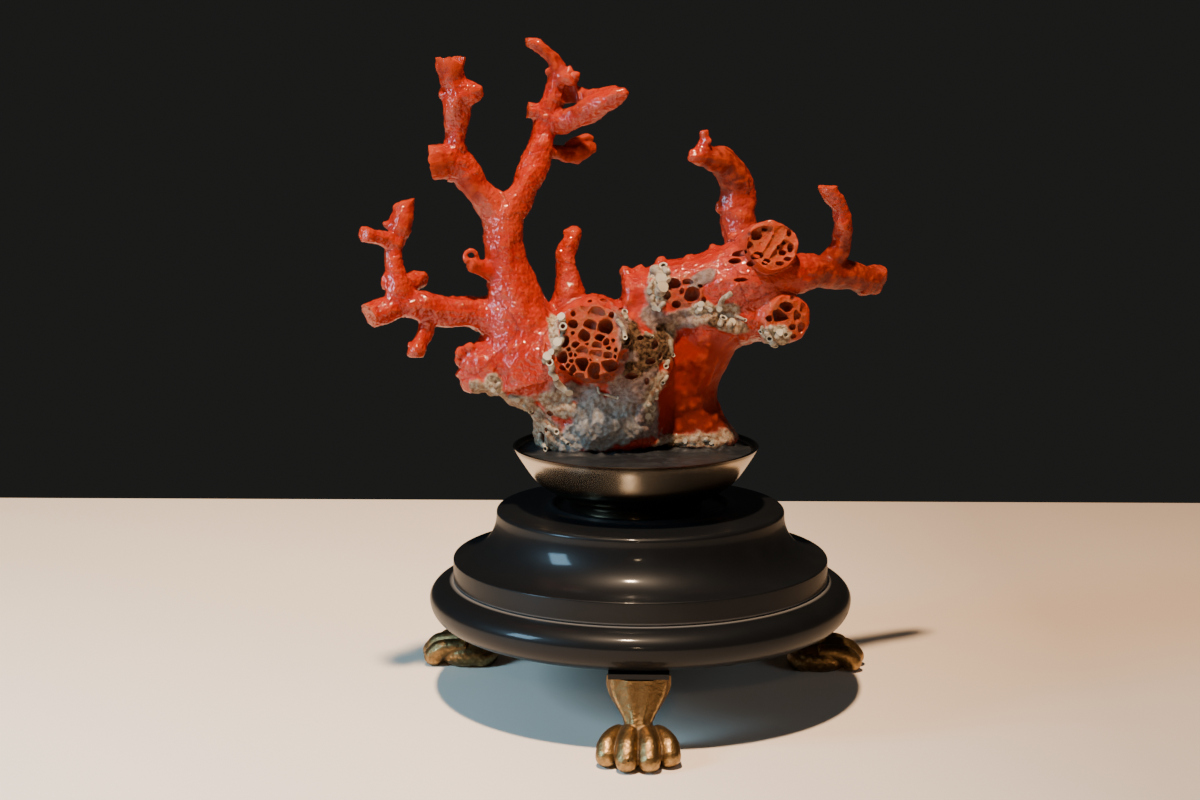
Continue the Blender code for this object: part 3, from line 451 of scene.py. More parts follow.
# Crusted ridges on the front, then edges of the wing: radius, then x and z along each ridge.
RIDGES = (
    (1.2, ((-25.6, 126.5), (-27.2, 121), (-29.8, 114.5), (-26.5, 108), (-21, 104.5))),
    (1.5, ((6, 143), (5, 137), (7.5, 131), (14, 125.5), (24.5, 125.5), (31, 122.5))),
    (1.5, ((0.5, 122), (8.5, 119), (9, 112), (5.5, 106), (2, 99.5), (0, 94))),
    (1.5, ((-53, 106.5), (-47, 105), (-41, 101.5), (-35, 97.5), (-30, 91), (-29, 86))),
    (1.3, ((-3.5, 128), (-3, 122), (-5, 112), (-10, 106.5))),
    (1.4, ((3, 86), (10, 86.5), (18, 86))),
    (1, ((-26.6, 111.5), (-24, 107.6), (-18.6, 105.6), (-12, 105.9), (-7, 109), (-5, 113.6))),
    (0.9, ((33.6, 126), (28, 119.5), (24.6, 112), (22.6, 104))),
    (0.8, ((22.4, 118), (20.6, 110), (18.4, 102))),
)

# Chalky tubes that worms built on the coral, as the ridges are given.
WORM_TUBES = (
    (1.25, ((-25.1, 126.4), (-25.2, 127.6))), (1.15, ((-25, 123.6), (-24.8, 124.8))),
    (1, ((-25.4, 122.6), (-25.8, 120.4), (-27, 118.6), (-28, 117))),
    (1.3, ((-27, 118), (-26.4, 119.6))), (1.3, ((-30.6, 113.6), (-29.9, 115))),
    (1.15, ((-28.3, 111.6), (-28.9, 113.2))), (0.9, ((-29, 110.6), (-27.4, 109))),
    (1.15, ((-27.2, 107.8), (-25.6, 105.6), (-23.4, 104.2))),
    (0.42, ((-13.9, 105), (-13.2, 103.2), (-10.4, 102.4), (-7.6, 101.5))),
    (1.7, ((4.3, 142), (5.6, 141), (6.2, 139.4))), (1.2, ((8.6, 141), (7.4, 142.6))),
    (1.75, ((6.1, 135), (6.2, 136.6))), (0.9, ((3.9, 134), (3.4, 132.2), (4.6, 130.6))),
    (0.8, ((7.3, 132), (6.2, 130.4))), (0.9, ((7.9, 137.6), (8.3, 139.3))),
    (0.8, ((3.2, 137.4), (3, 135.8))), (0.9, ((17.8, 130.8), (19.2, 131.5))),
    (0.85, ((18.2, 128.9), (19, 130))), (0.7, ((20.6, 130.6), (22.2, 130))),
    (0.9, ((29, 135.2), (26.4, 133.2), (25.4, 130.6))), (1.1, ((25.4, 125.2), (26.2, 126.3))),
    (1.15, ((28.2, 124.6), (28.9, 125.5))), (0.5, ((30.9, 127.6), (33.4, 126.4))),
    (1, ((40.4, 122.6), (41.4, 121.4))), (1.1, ((43.4, 121), (44.2, 122.4))),
    (0.8, ((41.4, 124.6), (42.6, 124))), (0.9, ((45.6, 123.4), (46.2, 122.2))),
    (1.1, ((42.4, 119.6), (43.4, 118.9))), (0.7, ((39.2, 124.4), (38.9, 123.1))),
    (0.7, ((9.2, 119.6), (9.8, 117.2), (10, 115))), (0.8, ((8.6, 113), (8, 111.8))),
    (0.7, ((8.4, 108.4), (7.2, 107))), (0.7, ((5.4, 104), (4.9, 101.6))),
    (1, ((3.9, 98.6), (3.4, 96.6), (2.2, 95.2))), (0.9, ((2.5, 99.6), (3.5, 98))),
    (0.6, ((1.4, 122.6), (3.4, 121.4))), (0.7, ((-7.4, 127.6), (-5.6, 125.6), (-5, 122.8))),
    (0.9, ((-4.6, 127.2), (-5.4, 128.4))), (0.9, ((-33, 88.4), (-32.9, 85.6), (-30.6, 84.2))),
    (0.8, ((-29.6, 91.6), (-27.4, 90.4))), (0.7, ((-25.4, 88), (-23.6, 86.8))),
    (0.8, ((-45.6, 106), (-47.6, 104.4))), (0.8, ((-42.4, 101.6), (-40.4, 100.8))),
    (0.7, ((-37.6, 98.4), (-36.2, 96.8))), (0.8, ((11.8, 85.2), (14.4, 86))),
    (0.8, ((21.2, 86.6), (22.8, 85.8))),
)


def smoothstep(low: float, high: float, values: np.ndarray) -> np.ndarray:
    """Return 0 below low, 1 above high and a smooth rise between.

    Args:
        low: Where the rise starts. It may be the greater of the two, for a fall.
        high: Where the rise ends.
        values: What to look up.

    Returns:
        One number from 0 to 1 for each value.
    """
    t = np.clip((values - low) / (high - low), 0.0, 1.0)
    return t * t * (3.0 - 2.0 * t)


def cloud(points: np.ndarray, size: float, octaves: int = 1, shift: float = 0.0) -> np.ndarray:
    """Return smooth noise of about -1 to 1 at each point.

    Args:
        points: Places, one row each.
        size: Width of the largest swellings, in the points' own unit.
        octaves: How many finer layers are added.
        shift: Moves the pattern, so that two clouds differ.

    Returns:
        One number for each point.
    """
    scaled = points / size + shift
    return np.array([noise.fractal(place, 1.0, 2.0, octaves) for place in scaled.tolist()])


def smooth_route(rows: Sequence[Sequence[float]], step: float) -> np.ndarray:
    """Return rows about one step apart on a smooth curve through the rows (Catmull-Rom).

    Args:
        rows: What the curve passes through: a place, and whatever else follows it.
        step: The way from row to row, about.

    Returns:
        The rows of the curve, the given ones among them.
    """
    points = np.array(rows, dtype=float)
    points = np.vstack((2 * points[0] - points[1], points, 2 * points[-1] - points[-2]))
    route = []
    for a, b, c, d in zip(points, points[1:], points[2:], points[3:]):
        count = max(2, round(float(np.linalg.norm(c[:3] - b[:3])) / step))
        for t in np.arange(count) / count:
            bend = 2 * a - 5 * b + 4 * c - d
            route.append(0.5 * (2 * b + (c - a) * t + bend * t ** 2 + (3 * (b - c) + d - a) * t ** 3))
    route.append(points[-2])
    return np.array(route)


def to_mesh(bm: bmesh.types.BMesh, name: str) -> bpy.types.Mesh:
    """Turn a bmesh into a mesh and free it."""
    mesh = bpy.data.meshes.new(name)
    bm.to_mesh(mesh)
    bm.free()
    return mesh


def vertex_places(mesh: bpy.types.Mesh) -> np.ndarray:
    """Return every vertex's place, one row each."""
    flat = np.empty(len(mesh.vertices) * 3, np.float32)
    mesh.vertices.foreach_get("co", flat)
    return flat.reshape(-1, 3).astype(float)


def vertex_normals(mesh: bpy.types.Mesh) -> np.ndarray:
    """Return every vertex's normal, one row each."""
    flat = np.empty(len(mesh.vertices) * 3, np.float32)
    mesh.vertex_normals.foreach_get("vector", flat)
    return flat.reshape(-1, 3).astype(float)


def move_vertices(mesh: bpy.types.Mesh, places: np.ndarray) -> None:
    """Put every vertex at its row's place."""
    mesh.vertices.foreach_set("co", places.astype(np.float32).ravel())
    mesh.update()


def write_mask(mesh: bpy.types.Mesh, name: str, values: np.ndarray) -> None:
    """Keep one number per vertex as a named attribute."""
    layer = mesh.attributes.new(name, "FLOAT", "POINT")
    layer.data.foreach_set("value", values.astype(np.float32))


def cavity(mesh: bpy.types.Mesh, rounds: int) -> np.ndarray:
    """Return how hollow the surface is at each vertex, below 0 where it stands proud.

    Args:
        mesh: The surface.
        rounds: How often the measure is evened out over the neighbours.

    Returns:
        Millimetres that the neighbours' middle stands outside the vertex.
    """
    flat = np.empty(len(mesh.edges) * 2, np.int32)
    mesh.edges.foreach_get("vertices", flat)
    one, other = flat.reshape(-1, 2).T
    count = len(mesh.vertices)
    links = np.maximum(np.bincount(one, minlength=count) + np.bincount(other, minlength=count), 1)

    def neighbours_mean(values: np.ndarray) -> np.ndarray:
        """Return the mean of the neighbours' values."""
        total = np.bincount(one, values[other], count) + np.bincount(other, values[one], count)
        return total / links

    places = vertex_places(mesh)
    middle = np.stack([neighbours_mean(places[:, axis]) for axis in range(3)], axis=1)
    hollow = ((middle - places) * vertex_normals(mesh)).sum(axis=1)
    for _ in range(rounds):
        hollow = 0.5 * hollow + 0.5 * neighbours_mean(hollow)
    return hollow


def show(name: str, data: bpy.types.ID) -> bpy.types.Object:
    """Return a new object of the scene that shows its data."""
    made = bpy.data.objects.new(name, data)
    bpy.context.scene.collection.objects.link(made)
    return made


def with_modifiers(mesh: bpy.types.Mesh, *steps: tuple[str, dict[str, object]]) -> bpy.types.Mesh:
    """Return the mesh as a chain of modifiers leaves it.

    Args:
        mesh: What goes in, and is removed.
        steps: A modifier's type and its settings, for each step.

    Returns:
        A new mesh.
    """
    name = mesh.name
    rough = show(name, mesh)
    for kind, settings in steps:
        modifier = rough.modifiers.new(kind.lower(), kind)
        for key, value in settings.items():
            setattr(modifier, key, value)
    depsgraph = bpy.context.evaluated_depsgraph_get()
    depsgraph.update()
    made = bpy.data.meshes.new_from_object(rough.evaluated_get(depsgraph), depsgraph=depsgraph)
    bpy.data.objects.remove(rough)
    bpy.data.meshes.remove(mesh)
    made.name = name
    return made


def melted(mesh: bpy.types.Mesh, voxel: float, rounds: int) -> bpy.types.Mesh:
    """Return overlapping shells as one closed skin of even small faces, smoothed.

    Args:
        mesh: The shells, which are used up.
        voxel: Width of the new faces.
        rounds: How often the skin is smoothed.

    Returns:
        The skin.
    """
    return with_modifiers(
        mesh,
        ("REMESH", {"mode": "VOXEL", "voxel_size": voxel, "adaptivity": 0.0}),
        ("SMOOTH", {"factor": 0.5, "iterations": rounds}),
    )


def thinned(mesh: bpy.types.Mesh, most: int) -> bpy.types.Mesh:
    """Return the mesh with its triangles merged down to about the most that it may have.

    Args:
        mesh: What goes in, and is used up if it has too many.
        most: How many it may have.

    Returns:
        The mesh, or a lighter one.
    """
    mesh.calc_loop_triangles()
    share = most / max(len(mesh.loop_triangles), 1)
    if share >= 1.0:
        return mesh
    return with_modifiers(mesh, ("DECIMATE", {"ratio": share, "use_collapse_triangulate": True}))


def cut_away(mesh: bpy.types.Mesh, cutter: bpy.types.Mesh) -> bpy.types.Mesh:
    """Return the mesh less the cutter, both closed.

    Args:
        mesh: What is cut.
        cutter: What is taken away from it. Both are used up.

    Returns:
        What is left.
    """
    tool = show("cutter", cutter)
    tool.hide_render = True
    made = with_modifiers(
        mesh, ("BOOLEAN", {"operation": "DIFFERENCE", "solver": "MANIFOLD", "object": tool}))
    bpy.data.objects.remove(tool)
    bpy.data.meshes.remove(cutter)
    return made


def surface_tree(mesh: bpy.types.Mesh) -> BVHTree:
    """Return a tree for casting rays at a mesh."""
    bm = bmesh.new()
    bm.from_mesh(mesh)
    tree = BVHTree.FromBMesh(bm)
    bm.free()
    return tree


def edges_of(verts: Sequence[bmesh.types.BMVert]) -> list[bmesh.types.BMEdge]:
    """Return every edge that ends at one of the vertices, once and always in the same order."""
    return list(dict.fromkeys(edge for vert in verts for edge in vert.link_edges))


def close_skin(bm: bmesh.types.BMesh, loops: Sequence[list[bmesh.types.BMEdge]], sides: int) -> None:
    """Bridge each loop of edges to the next one, and fill the first and the last.

    Args:
        bm: Where the loops are.
        loops: Each ring's edges, in order.
        sides: Corners of each ring.
    """
    for lower, upper in zip(loops, loops[1:]):
        bmesh.ops.bridge_loops(bm, edges=lower + upper)
    bmesh.ops.holes_fill(bm, edges=loops[0] + loops[-1], sides=sides)


def sweep(bm: bmesh.types.BMesh, route: np.ndarray, sides: int) -> list[list[bmesh.types.BMVert]]:
    """Add a round skin along a route and close both ends.

    Args:
        bm: Where the skin goes.
        route: Rows of x, y, z and radius.
        sides: Corners of each ring.

    Returns:
        The rings' vertices, in order.
    """
    rings, loops = [], []
    turn, heading = Quaternion(), None
    for index, (x, y, z, radius) in enumerate(route):
        ahead = route[min(index + 1, len(route) - 1), :3] - route[max(index - 1, 0), :3]
        tangent = Vector(ahead).normalized()
        if heading is None:
            turn = tangent.to_track_quat("Z", "Y")
        else:
            turn = heading.rotation_difference(tangent) @ turn
        heading = tangent
        place = Matrix.Translation((x, y, z)) @ turn.to_matrix().to_4x4()
        ring = bmesh.ops.create_circle(bm, segments=sides, radius=radius, matrix=place)["verts"]
        rings.append(ring)
        loops.append(edges_of(ring))
    close_skin(bm, loops, sides)
    return rings


def add_ellipsoid(bm: bmesh.types.BMesh, centre: Sequence[float], halves: Sequence[float]) -> None:
    """Add a closed ellipsoid with its axes along x, y and z."""
    place = Matrix.Translation(Vector(centre)) @ Matrix.Diagonal((*halves, 1.0))
    bmesh.ops.create_icosphere(bm, subdivisions=3, radius=1.0, matrix=place)


def turned(
    name: str, profile: Sequence[tuple[float, float]], steps: int, shift: float = 0.0,
) -> bpy.types.Mesh:
    """Turn a profile round the stand's axis.

    Args:
        name: Name of the mesh.
        profile: Radius and height of its points, from the axis at the top to the axis below.
        steps: Faces round the turning.
        shift: How far to the right the turning's own axis stands.

    Returns:
        A closed mesh with its faces outward.
    """
    bm = bmesh.new()
    line = [bm.verts.new((radius, 0.0, height)) for radius, height in profile]
    edges = [bm.edges.new(pair) for pair in zip(line, line[1:])]
    bmesh.ops.spin(
        bm, geom=line + edges, cent=(0, 0, 0), axis=(0, 0, 1), dvec=(0, 0, 0), angle=math.tau,
        steps=steps, use_merge=True, use_duplicate=False)
    bmesh.ops.remove_doubles(bm, verts=bm.verts, dist=0.001)
    bmesh.ops.recalc_face_normals(bm, faces=bm.faces)
    bmesh.ops.translate(bm, vec=(shift, 0, 0), verts=bm.verts)
    return to_mesh(bm, name)


def arc(
    centre: tuple[float, float], half_width: float, half_height: float,
    start: float, end: float, count: int,
) -> list[tuple[float, float]]:
    """Return points of an elliptical arc in the profile plane, angles in degrees from +X.

    Args:
        centre: Radius and height of its middle.
        half_width: Its reach outward.
        half_height: Its reach upward.
        start: Angle of the first point.
        end: Angle of the last point.
        count: How many points.

    Returns:
        Radius and height of each point.
    """
    angles = np.radians(np.linspace(start, end, count))
    radius, height = centre
    return [(radius + half_width * math.cos(a), height + half_height * math.sin(a)) for a in angles]


def shade_smooth(mesh: bpy.types.Mesh, crease: float) -> None:
    """Shade a mesh smooth, but for edges sharper than the crease, in degrees."""
    mesh.shade_smooth()
    mesh.set_sharp_from_angle(angle=math.radians(crease))


def add_piece(
    mesh: bpy.types.Mesh, material: bpy.types.Material, slot: Slot, stands_for: Sequence[str] = (),
) -> bpy.types.Object:
    """Carry a finished mesh into the frame and show it.

    Args:
        mesh: The shape in the stand's frame, in millimetres. The piece takes its name.
        material: Its finish.
        slot: The record's slot that the finish belongs to; it is not used.
        stands_for: CAD nodes that it replaces.

    Returns:
        The new object.
    """
    mesh.transform(TO_ROW)
    mesh.materials.clear()
    mesh.materials.append(material)
    piece = show(mesh.name, mesh)
    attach(piece, BODY)
    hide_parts(*stands_for)
    mesh.calc_loop_triangles()
    LOG.info("%s: %d triangles", piece.name, len(mesh.loop_triangles))
    return piece


class Recipe:
    """The nodes of one material, made in the order in which they are read."""

    def __init__(self, name: str) -> None:
        """Start a material with a Principled shader and its piece's own coordinates."""
        self.material = bpy.data.materials.new(name)
        self.material.use_nodes = True
        self.tree = self.material.node_tree
        self.shader = self.tree.nodes["Principled BSDF"]
        self.here = self.node("ShaderNodeTexCoord").outputs["Object"]

    def node(self, kind: str, inputs: dict | None = None, **settings: object) -> bpy.types.Node:
        """Add a node.

        Args:
            kind: Its type.
            inputs: A value or another node's output for some of its inputs.
            settings: Its own properties.

        Returns:
            The node.
        """
        made = self.tree.nodes.new(kind)
        for key, value in settings.items():
            setattr(made, key, value)
        for key, value in (inputs or {}).items():
            self.feed(made.inputs[key], value)
        return made

    def feed(self, socket: Socket, value: object) -> None:
        """Give an input a constant or another node's output."""
        if isinstance(value, Socket):
            self.tree.links.new(value, socket)
        elif socket.type == "RGBA":
            socket.default_value = (*value, 1.0)
        else:
            socket.default_value = value

    def finish(self, **inputs: object) -> bpy.types.Material:
        """Set the shader's inputs, with underscores for spaces, and return the material."""
        for key, value in inputs.items():
            self.feed(self.shader.inputs[key.replace("_", " ")], value)
        return self.material

    def mask(self, name: str) -> Socket:
        """Read a number that the mesh keeps per vertex."""
        return self.node("ShaderNodeAttribute", attribute_name=name).outputs["Fac"]

    def noise(
        self, size: float, detail: float = 4.0, rough: float = 0.55, **inputs: object,
    ) -> Socket:
        """Return cloudy noise from 0 to 1 whose largest swellings are about a size in millimetres.

        Args:
            size: Width of the swellings.
            detail: How many finer layers are added.
            rough: How strong the finer layers are.
            inputs: Other inputs, such as Vector or W.

        Returns:
            The noise.
        """
        fed = {"Vector": self.here, "Scale": 1 / (size * MM), "Detail": detail, "Roughness": rough}
        fed.update(inputs)
        kind = "4D" if "W" in inputs else "3D"
        return self.node("ShaderNodeTexNoise", fed, noise_dimensions=kind).outputs["Fac"]

    def cells(self, size: float, feature: str = "F1") -> Socket:
        """Return the distance within cells of about a size in millimetres."""
        fed = {"Vector": self.here, "Scale": 1 / (size * MM)}
        return self.node("ShaderNodeTexVoronoi", fed, feature=feature).outputs["Distance"]

    def span(
        self, value: object, low: float, high: float, start: float = 0.0, end: float = 1.0,
    ) -> Socket:
        """Map low..high to start..end and hold it there.

        Args:
            value: What is mapped.
            low: Where the start stands.
            high: Where the end stands.
            start: What comes out at low and below.
            end: What comes out at high and above.

        Returns:
            The mapped number.
        """
        fed = {"Value": value, "From Min": low, "From Max": high, "To Min": start, "To Max": end}
        return self.node("ShaderNodeMapRange", fed).outputs["Result"]

    def times(self, one: object, other: object) -> Socket:
        """Return the product of two numbers."""
        return self.reckoned("MULTIPLY", one, other)

    def most(self, one: object, other: object) -> Socket:
        """Return the greater of two numbers."""
        return self.reckoned("MAXIMUM", one, other)

    def reckoned(self, kind: str, one: object, other: object) -> Socket:
        """Return what an operation makes of two numbers, held between 0 and 1."""
        made = self.node("ShaderNodeMath", operation=kind, use_clamp=True)
        self.feed(made.inputs[0], one)
        self.feed(made.inputs[1], other)
        return made.outputs[0]

    def blend(self, factor: object, one: object, other: object) -> Socket:
        """Mix two colours."""
        made = self.node("ShaderNodeMix", data_type="RGBA")
        self.feed(made.inputs[0], factor)
        self.feed(made.inputs[6], one)
        self.feed(made.inputs[7], other)
        return made.outputs[2]

    def mix(self, factor: object, one: object, other: object) -> Socket:
        """Mix two numbers."""
        made = self.node("ShaderNodeMix", data_type="FLOAT")
        self.feed(made.inputs[0], factor)
        self.feed(made.inputs[2], one)
        self.feed(made.inputs[3], other)
        return made.outputs[0]

    def bump(self, height: object, depth: object, below: object = None) -> Socket:
        """Return the normal over a relief, laid on another one.

        Args:
            height: The relief, from 0 to 1.
            depth: Its depth in millimetres, or a socket that gives it in metres.
            below: The normal that it is laid on.

        Returns:
            The normal.
        """
        fed = {"Height": height, "Distance": depth * MM if isinstance(depth, float) else depth}
        if below is not None:
            fed["Normal"] = below
        return self.node("ShaderNodeBump", fed).outputs["Normal"]


# Each growth's dark and light colour, from the lowest layer to the topmost.
CRUST_COLOURS = (
    (Crust.LILAC, (0.130, 0.076, 0.060), (0.225, 0.160, 0.135)),
    (Crust.BEIGE, (0.17, 0.085, 0.045), (0.30, 0.235, 0.165)),
    (Crust.WOOLLY, (0.185, 0.162, 0.140), (0.285, 0.255, 0.228)),
    (Crust.BROWN, (0.018, 0.008, 0.004), (0.13, 0.070, 0.034)),
    (Crust.PALE, (0.16, 0.095, 0.055), (0.42, 0.34, 0.235)),
)


@dataclass(frozen=True)
class CoralFinish:
    """Wet-looking red coral under patches of chalky and woolly growth."""

    red: Colour = (0.260, 0.0076, 0.0024)
    orange: Colour = (0.330, 0.0150, 0.0038)
    pink: Colour = (0.300, 0.034, 0.022)
    # deep red: partly the coral's own, partly painted shade on the horn's top, the right arm and the lower
    # right
    deep: Colour = (0.090, 0.0110, 0.0055)
    broken: Colour = (0.370, 0.040, 0.010)
    wall: Colour = (0.26, 0.036, 0.010)
    wall_pale: Colour = (0.21, 0.072, 0.029)
    inside: Colour = (0.190, 0.034, 0.014)
    inside_purple: Colour = (0.150, 0.052, 0.046)
    # near-black of the skin just above its flat foot, where it meets the wax
    dark_above_seat: Colour = (0.012, 0.008, 0.008)

    def material(self) -> bpy.types.Material:
        """Return the finish."""
        recipe = Recipe("red_coral_skin")
        across = recipe.node("ShaderNodeAttribute", attribute_name="grain_across").outputs["Vector"]
        streaks = recipe.noise(1.6, 3.0, 0.6, Vector=across, W=recipe.mask("grain_along"))
        dashes = recipe.noise(1.0, 1.0, 0.5, Vector=across, W=recipe.mask("grain_along"))
        colour, covered = self._crusted(recipe, self._bored(recipe, self._bark(recipe, streaks)))
        # The skin turns near-black just above its flat foot, where it meets the wax.
        colour = recipe.blend(recipe.mask("dark_above_seat"), colour, self.dark_above_seat)
        bare = recipe.span(recipe.most(covered, recipe.mask("bored")), 0.0, 0.8, 1.0, 0.0)
        wet = recipe.times(bare, recipe.mask("sheen"))
        relief = self._relief(recipe, wet, covered, streaks, dashes)
        return recipe.finish(
            Base_Color=colour, Roughness=recipe.mix(wet, 0.58, 0.48), Normal=relief,
            Specular_IOR_Level=0.06, Subsurface_Weight=0.10, Subsurface_Radius=(1.0, 0.16, 0.07),
            Subsurface_Scale=0.0016, Coat_Weight=recipe.times(wet, 0.80), Coat_Roughness=0.050,
            Coat_Normal=relief, IOR=1.5,
        )

    def _bark(self, recipe: Recipe, streaks: Socket) -> Socket:
        """Return the red of the skin, with rosy bloom, pale streaks, deep red places that are partly painted
        shade, and worn ones.

        Args:
            recipe: The material.
            streaks: Stripes along the branches.

        Returns:
            The colour.
        """
        tone = recipe.span(recipe.noise(9.0), 0.35, 0.68)
        colour = recipe.blend(tone, self.red, self.orange)
        bloom = recipe.span(recipe.noise(16.0, 3.0), 0.55, 0.75, 0.0, 0.22)
        rosy = recipe.most(bloom, recipe.times(recipe.mask("rosy"), 0.45))
        colour = recipe.blend(rosy, colour, self.pink)
        colour = recipe.blend(recipe.span(streaks, 0.50, 0.80, 0.0, 0.30), colour, self.broken)
        # Deep red, in part painted shade.
        colour = recipe.blend(recipe.mask("deep_red_and_shade"), colour, self.deep)
        return recipe.blend(recipe.mask("broken"), colour, self.broken)

    def _bored(self, recipe: Recipe, colour: Socket) -> Socket:
        """Return the colour with the broken faces and the insides of their cells laid over it.

        Args:
            recipe: The material.
            colour: What lies below.

        Returns:
            The colour.
        """
        wall = recipe.blend(recipe.span(recipe.noise(2.2, 3.0), 0.42, 0.66), self.wall, self.wall_pale)
        colour = recipe.blend(recipe.times(recipe.mask("disc"), 0.85), colour, wall)
        hollow = recipe.blend(recipe.span(recipe.noise(2.6), 0.4, 0.6), self.inside, self.inside_purple)
        return recipe.blend(recipe.mask("bored"), colour, hollow)

    def _crusted(
        self, recipe: Recipe, colour: Socket,
    ) -> tuple[Socket, Socket]:
        """Return the colour with the growths laid over it, and how much they cover.

        Args:
            recipe: The material.
            colour: What lies below.

        Returns:
            The colour, and from 0 to 1 how much of it is growth.
        """
        mottling = recipe.span(recipe.noise(1.2), 0.38, 0.62)
        covered = 0.0
        for kind, dark, light in CRUST_COLOURS:
            mask = recipe.mask(kind.value)
            colour = recipe.blend(mask, colour, recipe.blend(mottling, dark, light))
            covered = recipe.most(covered, mask)
        return colour, covered

    def _relief(
        self, recipe: Recipe, wet: Socket, covered: Socket,
        streaks: Socket, dashes: Socket,
    ) -> Socket:
        """Return the normal over the skin's fine bumps.

        Args:
            recipe: The material.
            wet: Where the skin is bare and pimpled.
            covered: Where growths cover it.
            streaks: Wide stripes along the branches.
            dashes: Fine stripes along the branches.

        Returns:
            The normal.
        """
        relief = recipe.bump(recipe.noise(1.15, 1.0, 0.5), recipe.mix(wet, 0.05 * MM, 0.46 * MM))
        relief = recipe.bump(dashes, recipe.mix(wet, 0.03 * MM, 0.16 * MM), relief)
        pimples = recipe.span(recipe.cells(1.3, "SMOOTH_F1"), 0.0, 0.75)
        relief = recipe.bump(pimples, recipe.mix(wet, 0.0, 0.22 * MM), relief)
        relief = recipe.bump(streaks, 0.30, relief)
        relief = recipe.bump(recipe.times(recipe.noise(0.5, 5.0, 0.7), covered), 0.4, relief)
        return recipe.bump(recipe.times(recipe.noise(1.1, 4.0, 0.6), recipe.mask("disc")), 0.6, relief)


@dataclass(frozen=True)
class ChalkFinish:
    """Chalky worm tube, stained here and there, with a painted highlight on its lip and painted shade down
    its bore.
    """

    chalk: Colour = (0.34, 0.285, 0.205)
    stain: Colour = (0.13, 0.078, 0.045)
    # painted highlight on the lip
    rim: Colour = (0.52, 0.45, 0.33)
    # painted shade down the bore
    bore: Colour = (0.014, 0.009, 0.007)

    def material(self) -> bpy.types.Material:
        """Return the finish."""
        recipe = Recipe("worm_tube_chalk")
        worn = recipe.span(recipe.noise(2.0), 0.36, 0.62)
        colour = recipe.blend(worn, self.stain, self.chalk)
        # Painted highlight: the lip of each mouth is painted paler.
        colour = recipe.blend(recipe.times(recipe.mask("lip"), 0.7), colour, self.rim)
        # Painted shade: the bore is near-black down inside the tube.
        colour = recipe.blend(recipe.mask("bored"), colour, self.bore)
        relief = recipe.bump(recipe.noise(0.4, 4.0, 0.7), 0.22)
        return recipe.finish(Base_Color=colour, Roughness=0.72, Normal=relief)


@dataclass(frozen=True)
class EbonisedWood:
    """Black-stained wood under a worn gloss polish, with fine turning marks and dust."""

    black: Colour = (0.0042, 0.0048, 0.0056)
    dust: Colour = (0.034, 0.035, 0.037)
    seam: Colour = (0.150, 0.142, 0.135)

    def material(self) -> bpy.types.Material:
        """Return the finish."""
        recipe = Recipe("ebonised_polish")
        rubbed = recipe.span(recipe.noise(18.0, 5.0, 0.6), 0.50, 0.78)
        specks = recipe.span(recipe.noise(1.1, 2.0), 0.70, 0.78)
        dusty = recipe.most(recipe.times(rubbed, 0.07), recipe.times(specks, 0.12))
        colour = recipe.blend(dusty, self.black, self.dust)
        colour = recipe.blend(recipe.mask("seam"), colour, self.seam)
        marks = recipe.node(
            "ShaderNodeMapping", {"Vector": recipe.here, "Scale": (0.05, 0.05, 1.0)}).outputs["Vector"]
        relief = recipe.bump(recipe.noise(1.6, 3.0, 0.5, Vector=marks), 0.012)
        relief = recipe.bump(recipe.noise(26.0, 2.0), 0.25, relief)
        return recipe.finish(
            Base_Color=colour, Roughness=0.42, Normal=relief, Specular_IOR_Level=0.10,
            Coat_Weight=0.21, Coat_Roughness=0.10, IOR=1.5,
        )


@dataclass(frozen=True)
class SilveredBrass:
    """Pale worn metal of the cup, with small scratches, dull spots and nicks at the rim, and a painted
    reflection of the dark wood that darkens the lower bowl.
    """

    pale: Colour = (0.52, 0.44, 0.345)
    tarnish_and_dark_reflection: Colour = (0.27, 0.195, 0.105)
    nick: Colour = (0.03, 0.022, 0.016)

    def material(self) -> bpy.types.Material:
        """Return the finish."""
        recipe = Recipe("silvered_brass")
        spots = recipe.span(recipe.noise(6.0, 6.0, 0.6), 0.52, 0.78)
        # Painted reflection: the lower bowl is darkened as if mirroring the black wood below.
        low = recipe.mask("dark_reflection_low_on_bowl")
        tarnish_and_reflection = recipe.most(recipe.times(spots, 0.12), recipe.times(low, 0.8))
        colour = recipe.blend(tarnish_and_reflection, self.pale, self.tarnish_and_dark_reflection)
        # The nicks mask also darkens the top edge of the rim.
        colour = recipe.blend(recipe.mask("nicks"), colour, self.nick)
        rings = recipe.node(
            "ShaderNodeMapping", {"Vector": recipe.here, "Scale": (0.03, 0.03, 1.0)}).outputs["Vector"]
        relief = recipe.bump(recipe.noise(0.5, 3.0, 0.6, Vector=rings), 0.012)
        return recipe.finish(
            Base_Color=colour, Metallic=1.0, Normal=relief,
            Roughness=recipe.span(spots, 0.0, 1.0, 0.20, 0.25),
        )


@dataclass(frozen=True)
class BlackWax:
    """Matt blue-black filling of the bowl."""

    dark: Colour = (0.0045, 0.0052, 0.0064)
    grey: Colour = (0.010, 0.0115, 0.0135)

    def material(self) -> bpy.types.Material:
        """Return the finish."""
        recipe = Recipe("black_wax")
        scuffed = recipe.span(recipe.noise(5.0, 6.0, 0.65), 0.45, 0.80)
        relief = recipe.bump(recipe.noise(0.8, 4.0), 0.10)
        relief = recipe.bump(recipe.noise(5.0, 2.0), 0.5, relief)
        return recipe.finish(
            Base_Color=recipe.blend(scuffed, self.dark, self.grey), Normal=relief,
            Roughness=recipe.span(scuffed, 0.0, 1.0, 0.42, 0.70),
        )


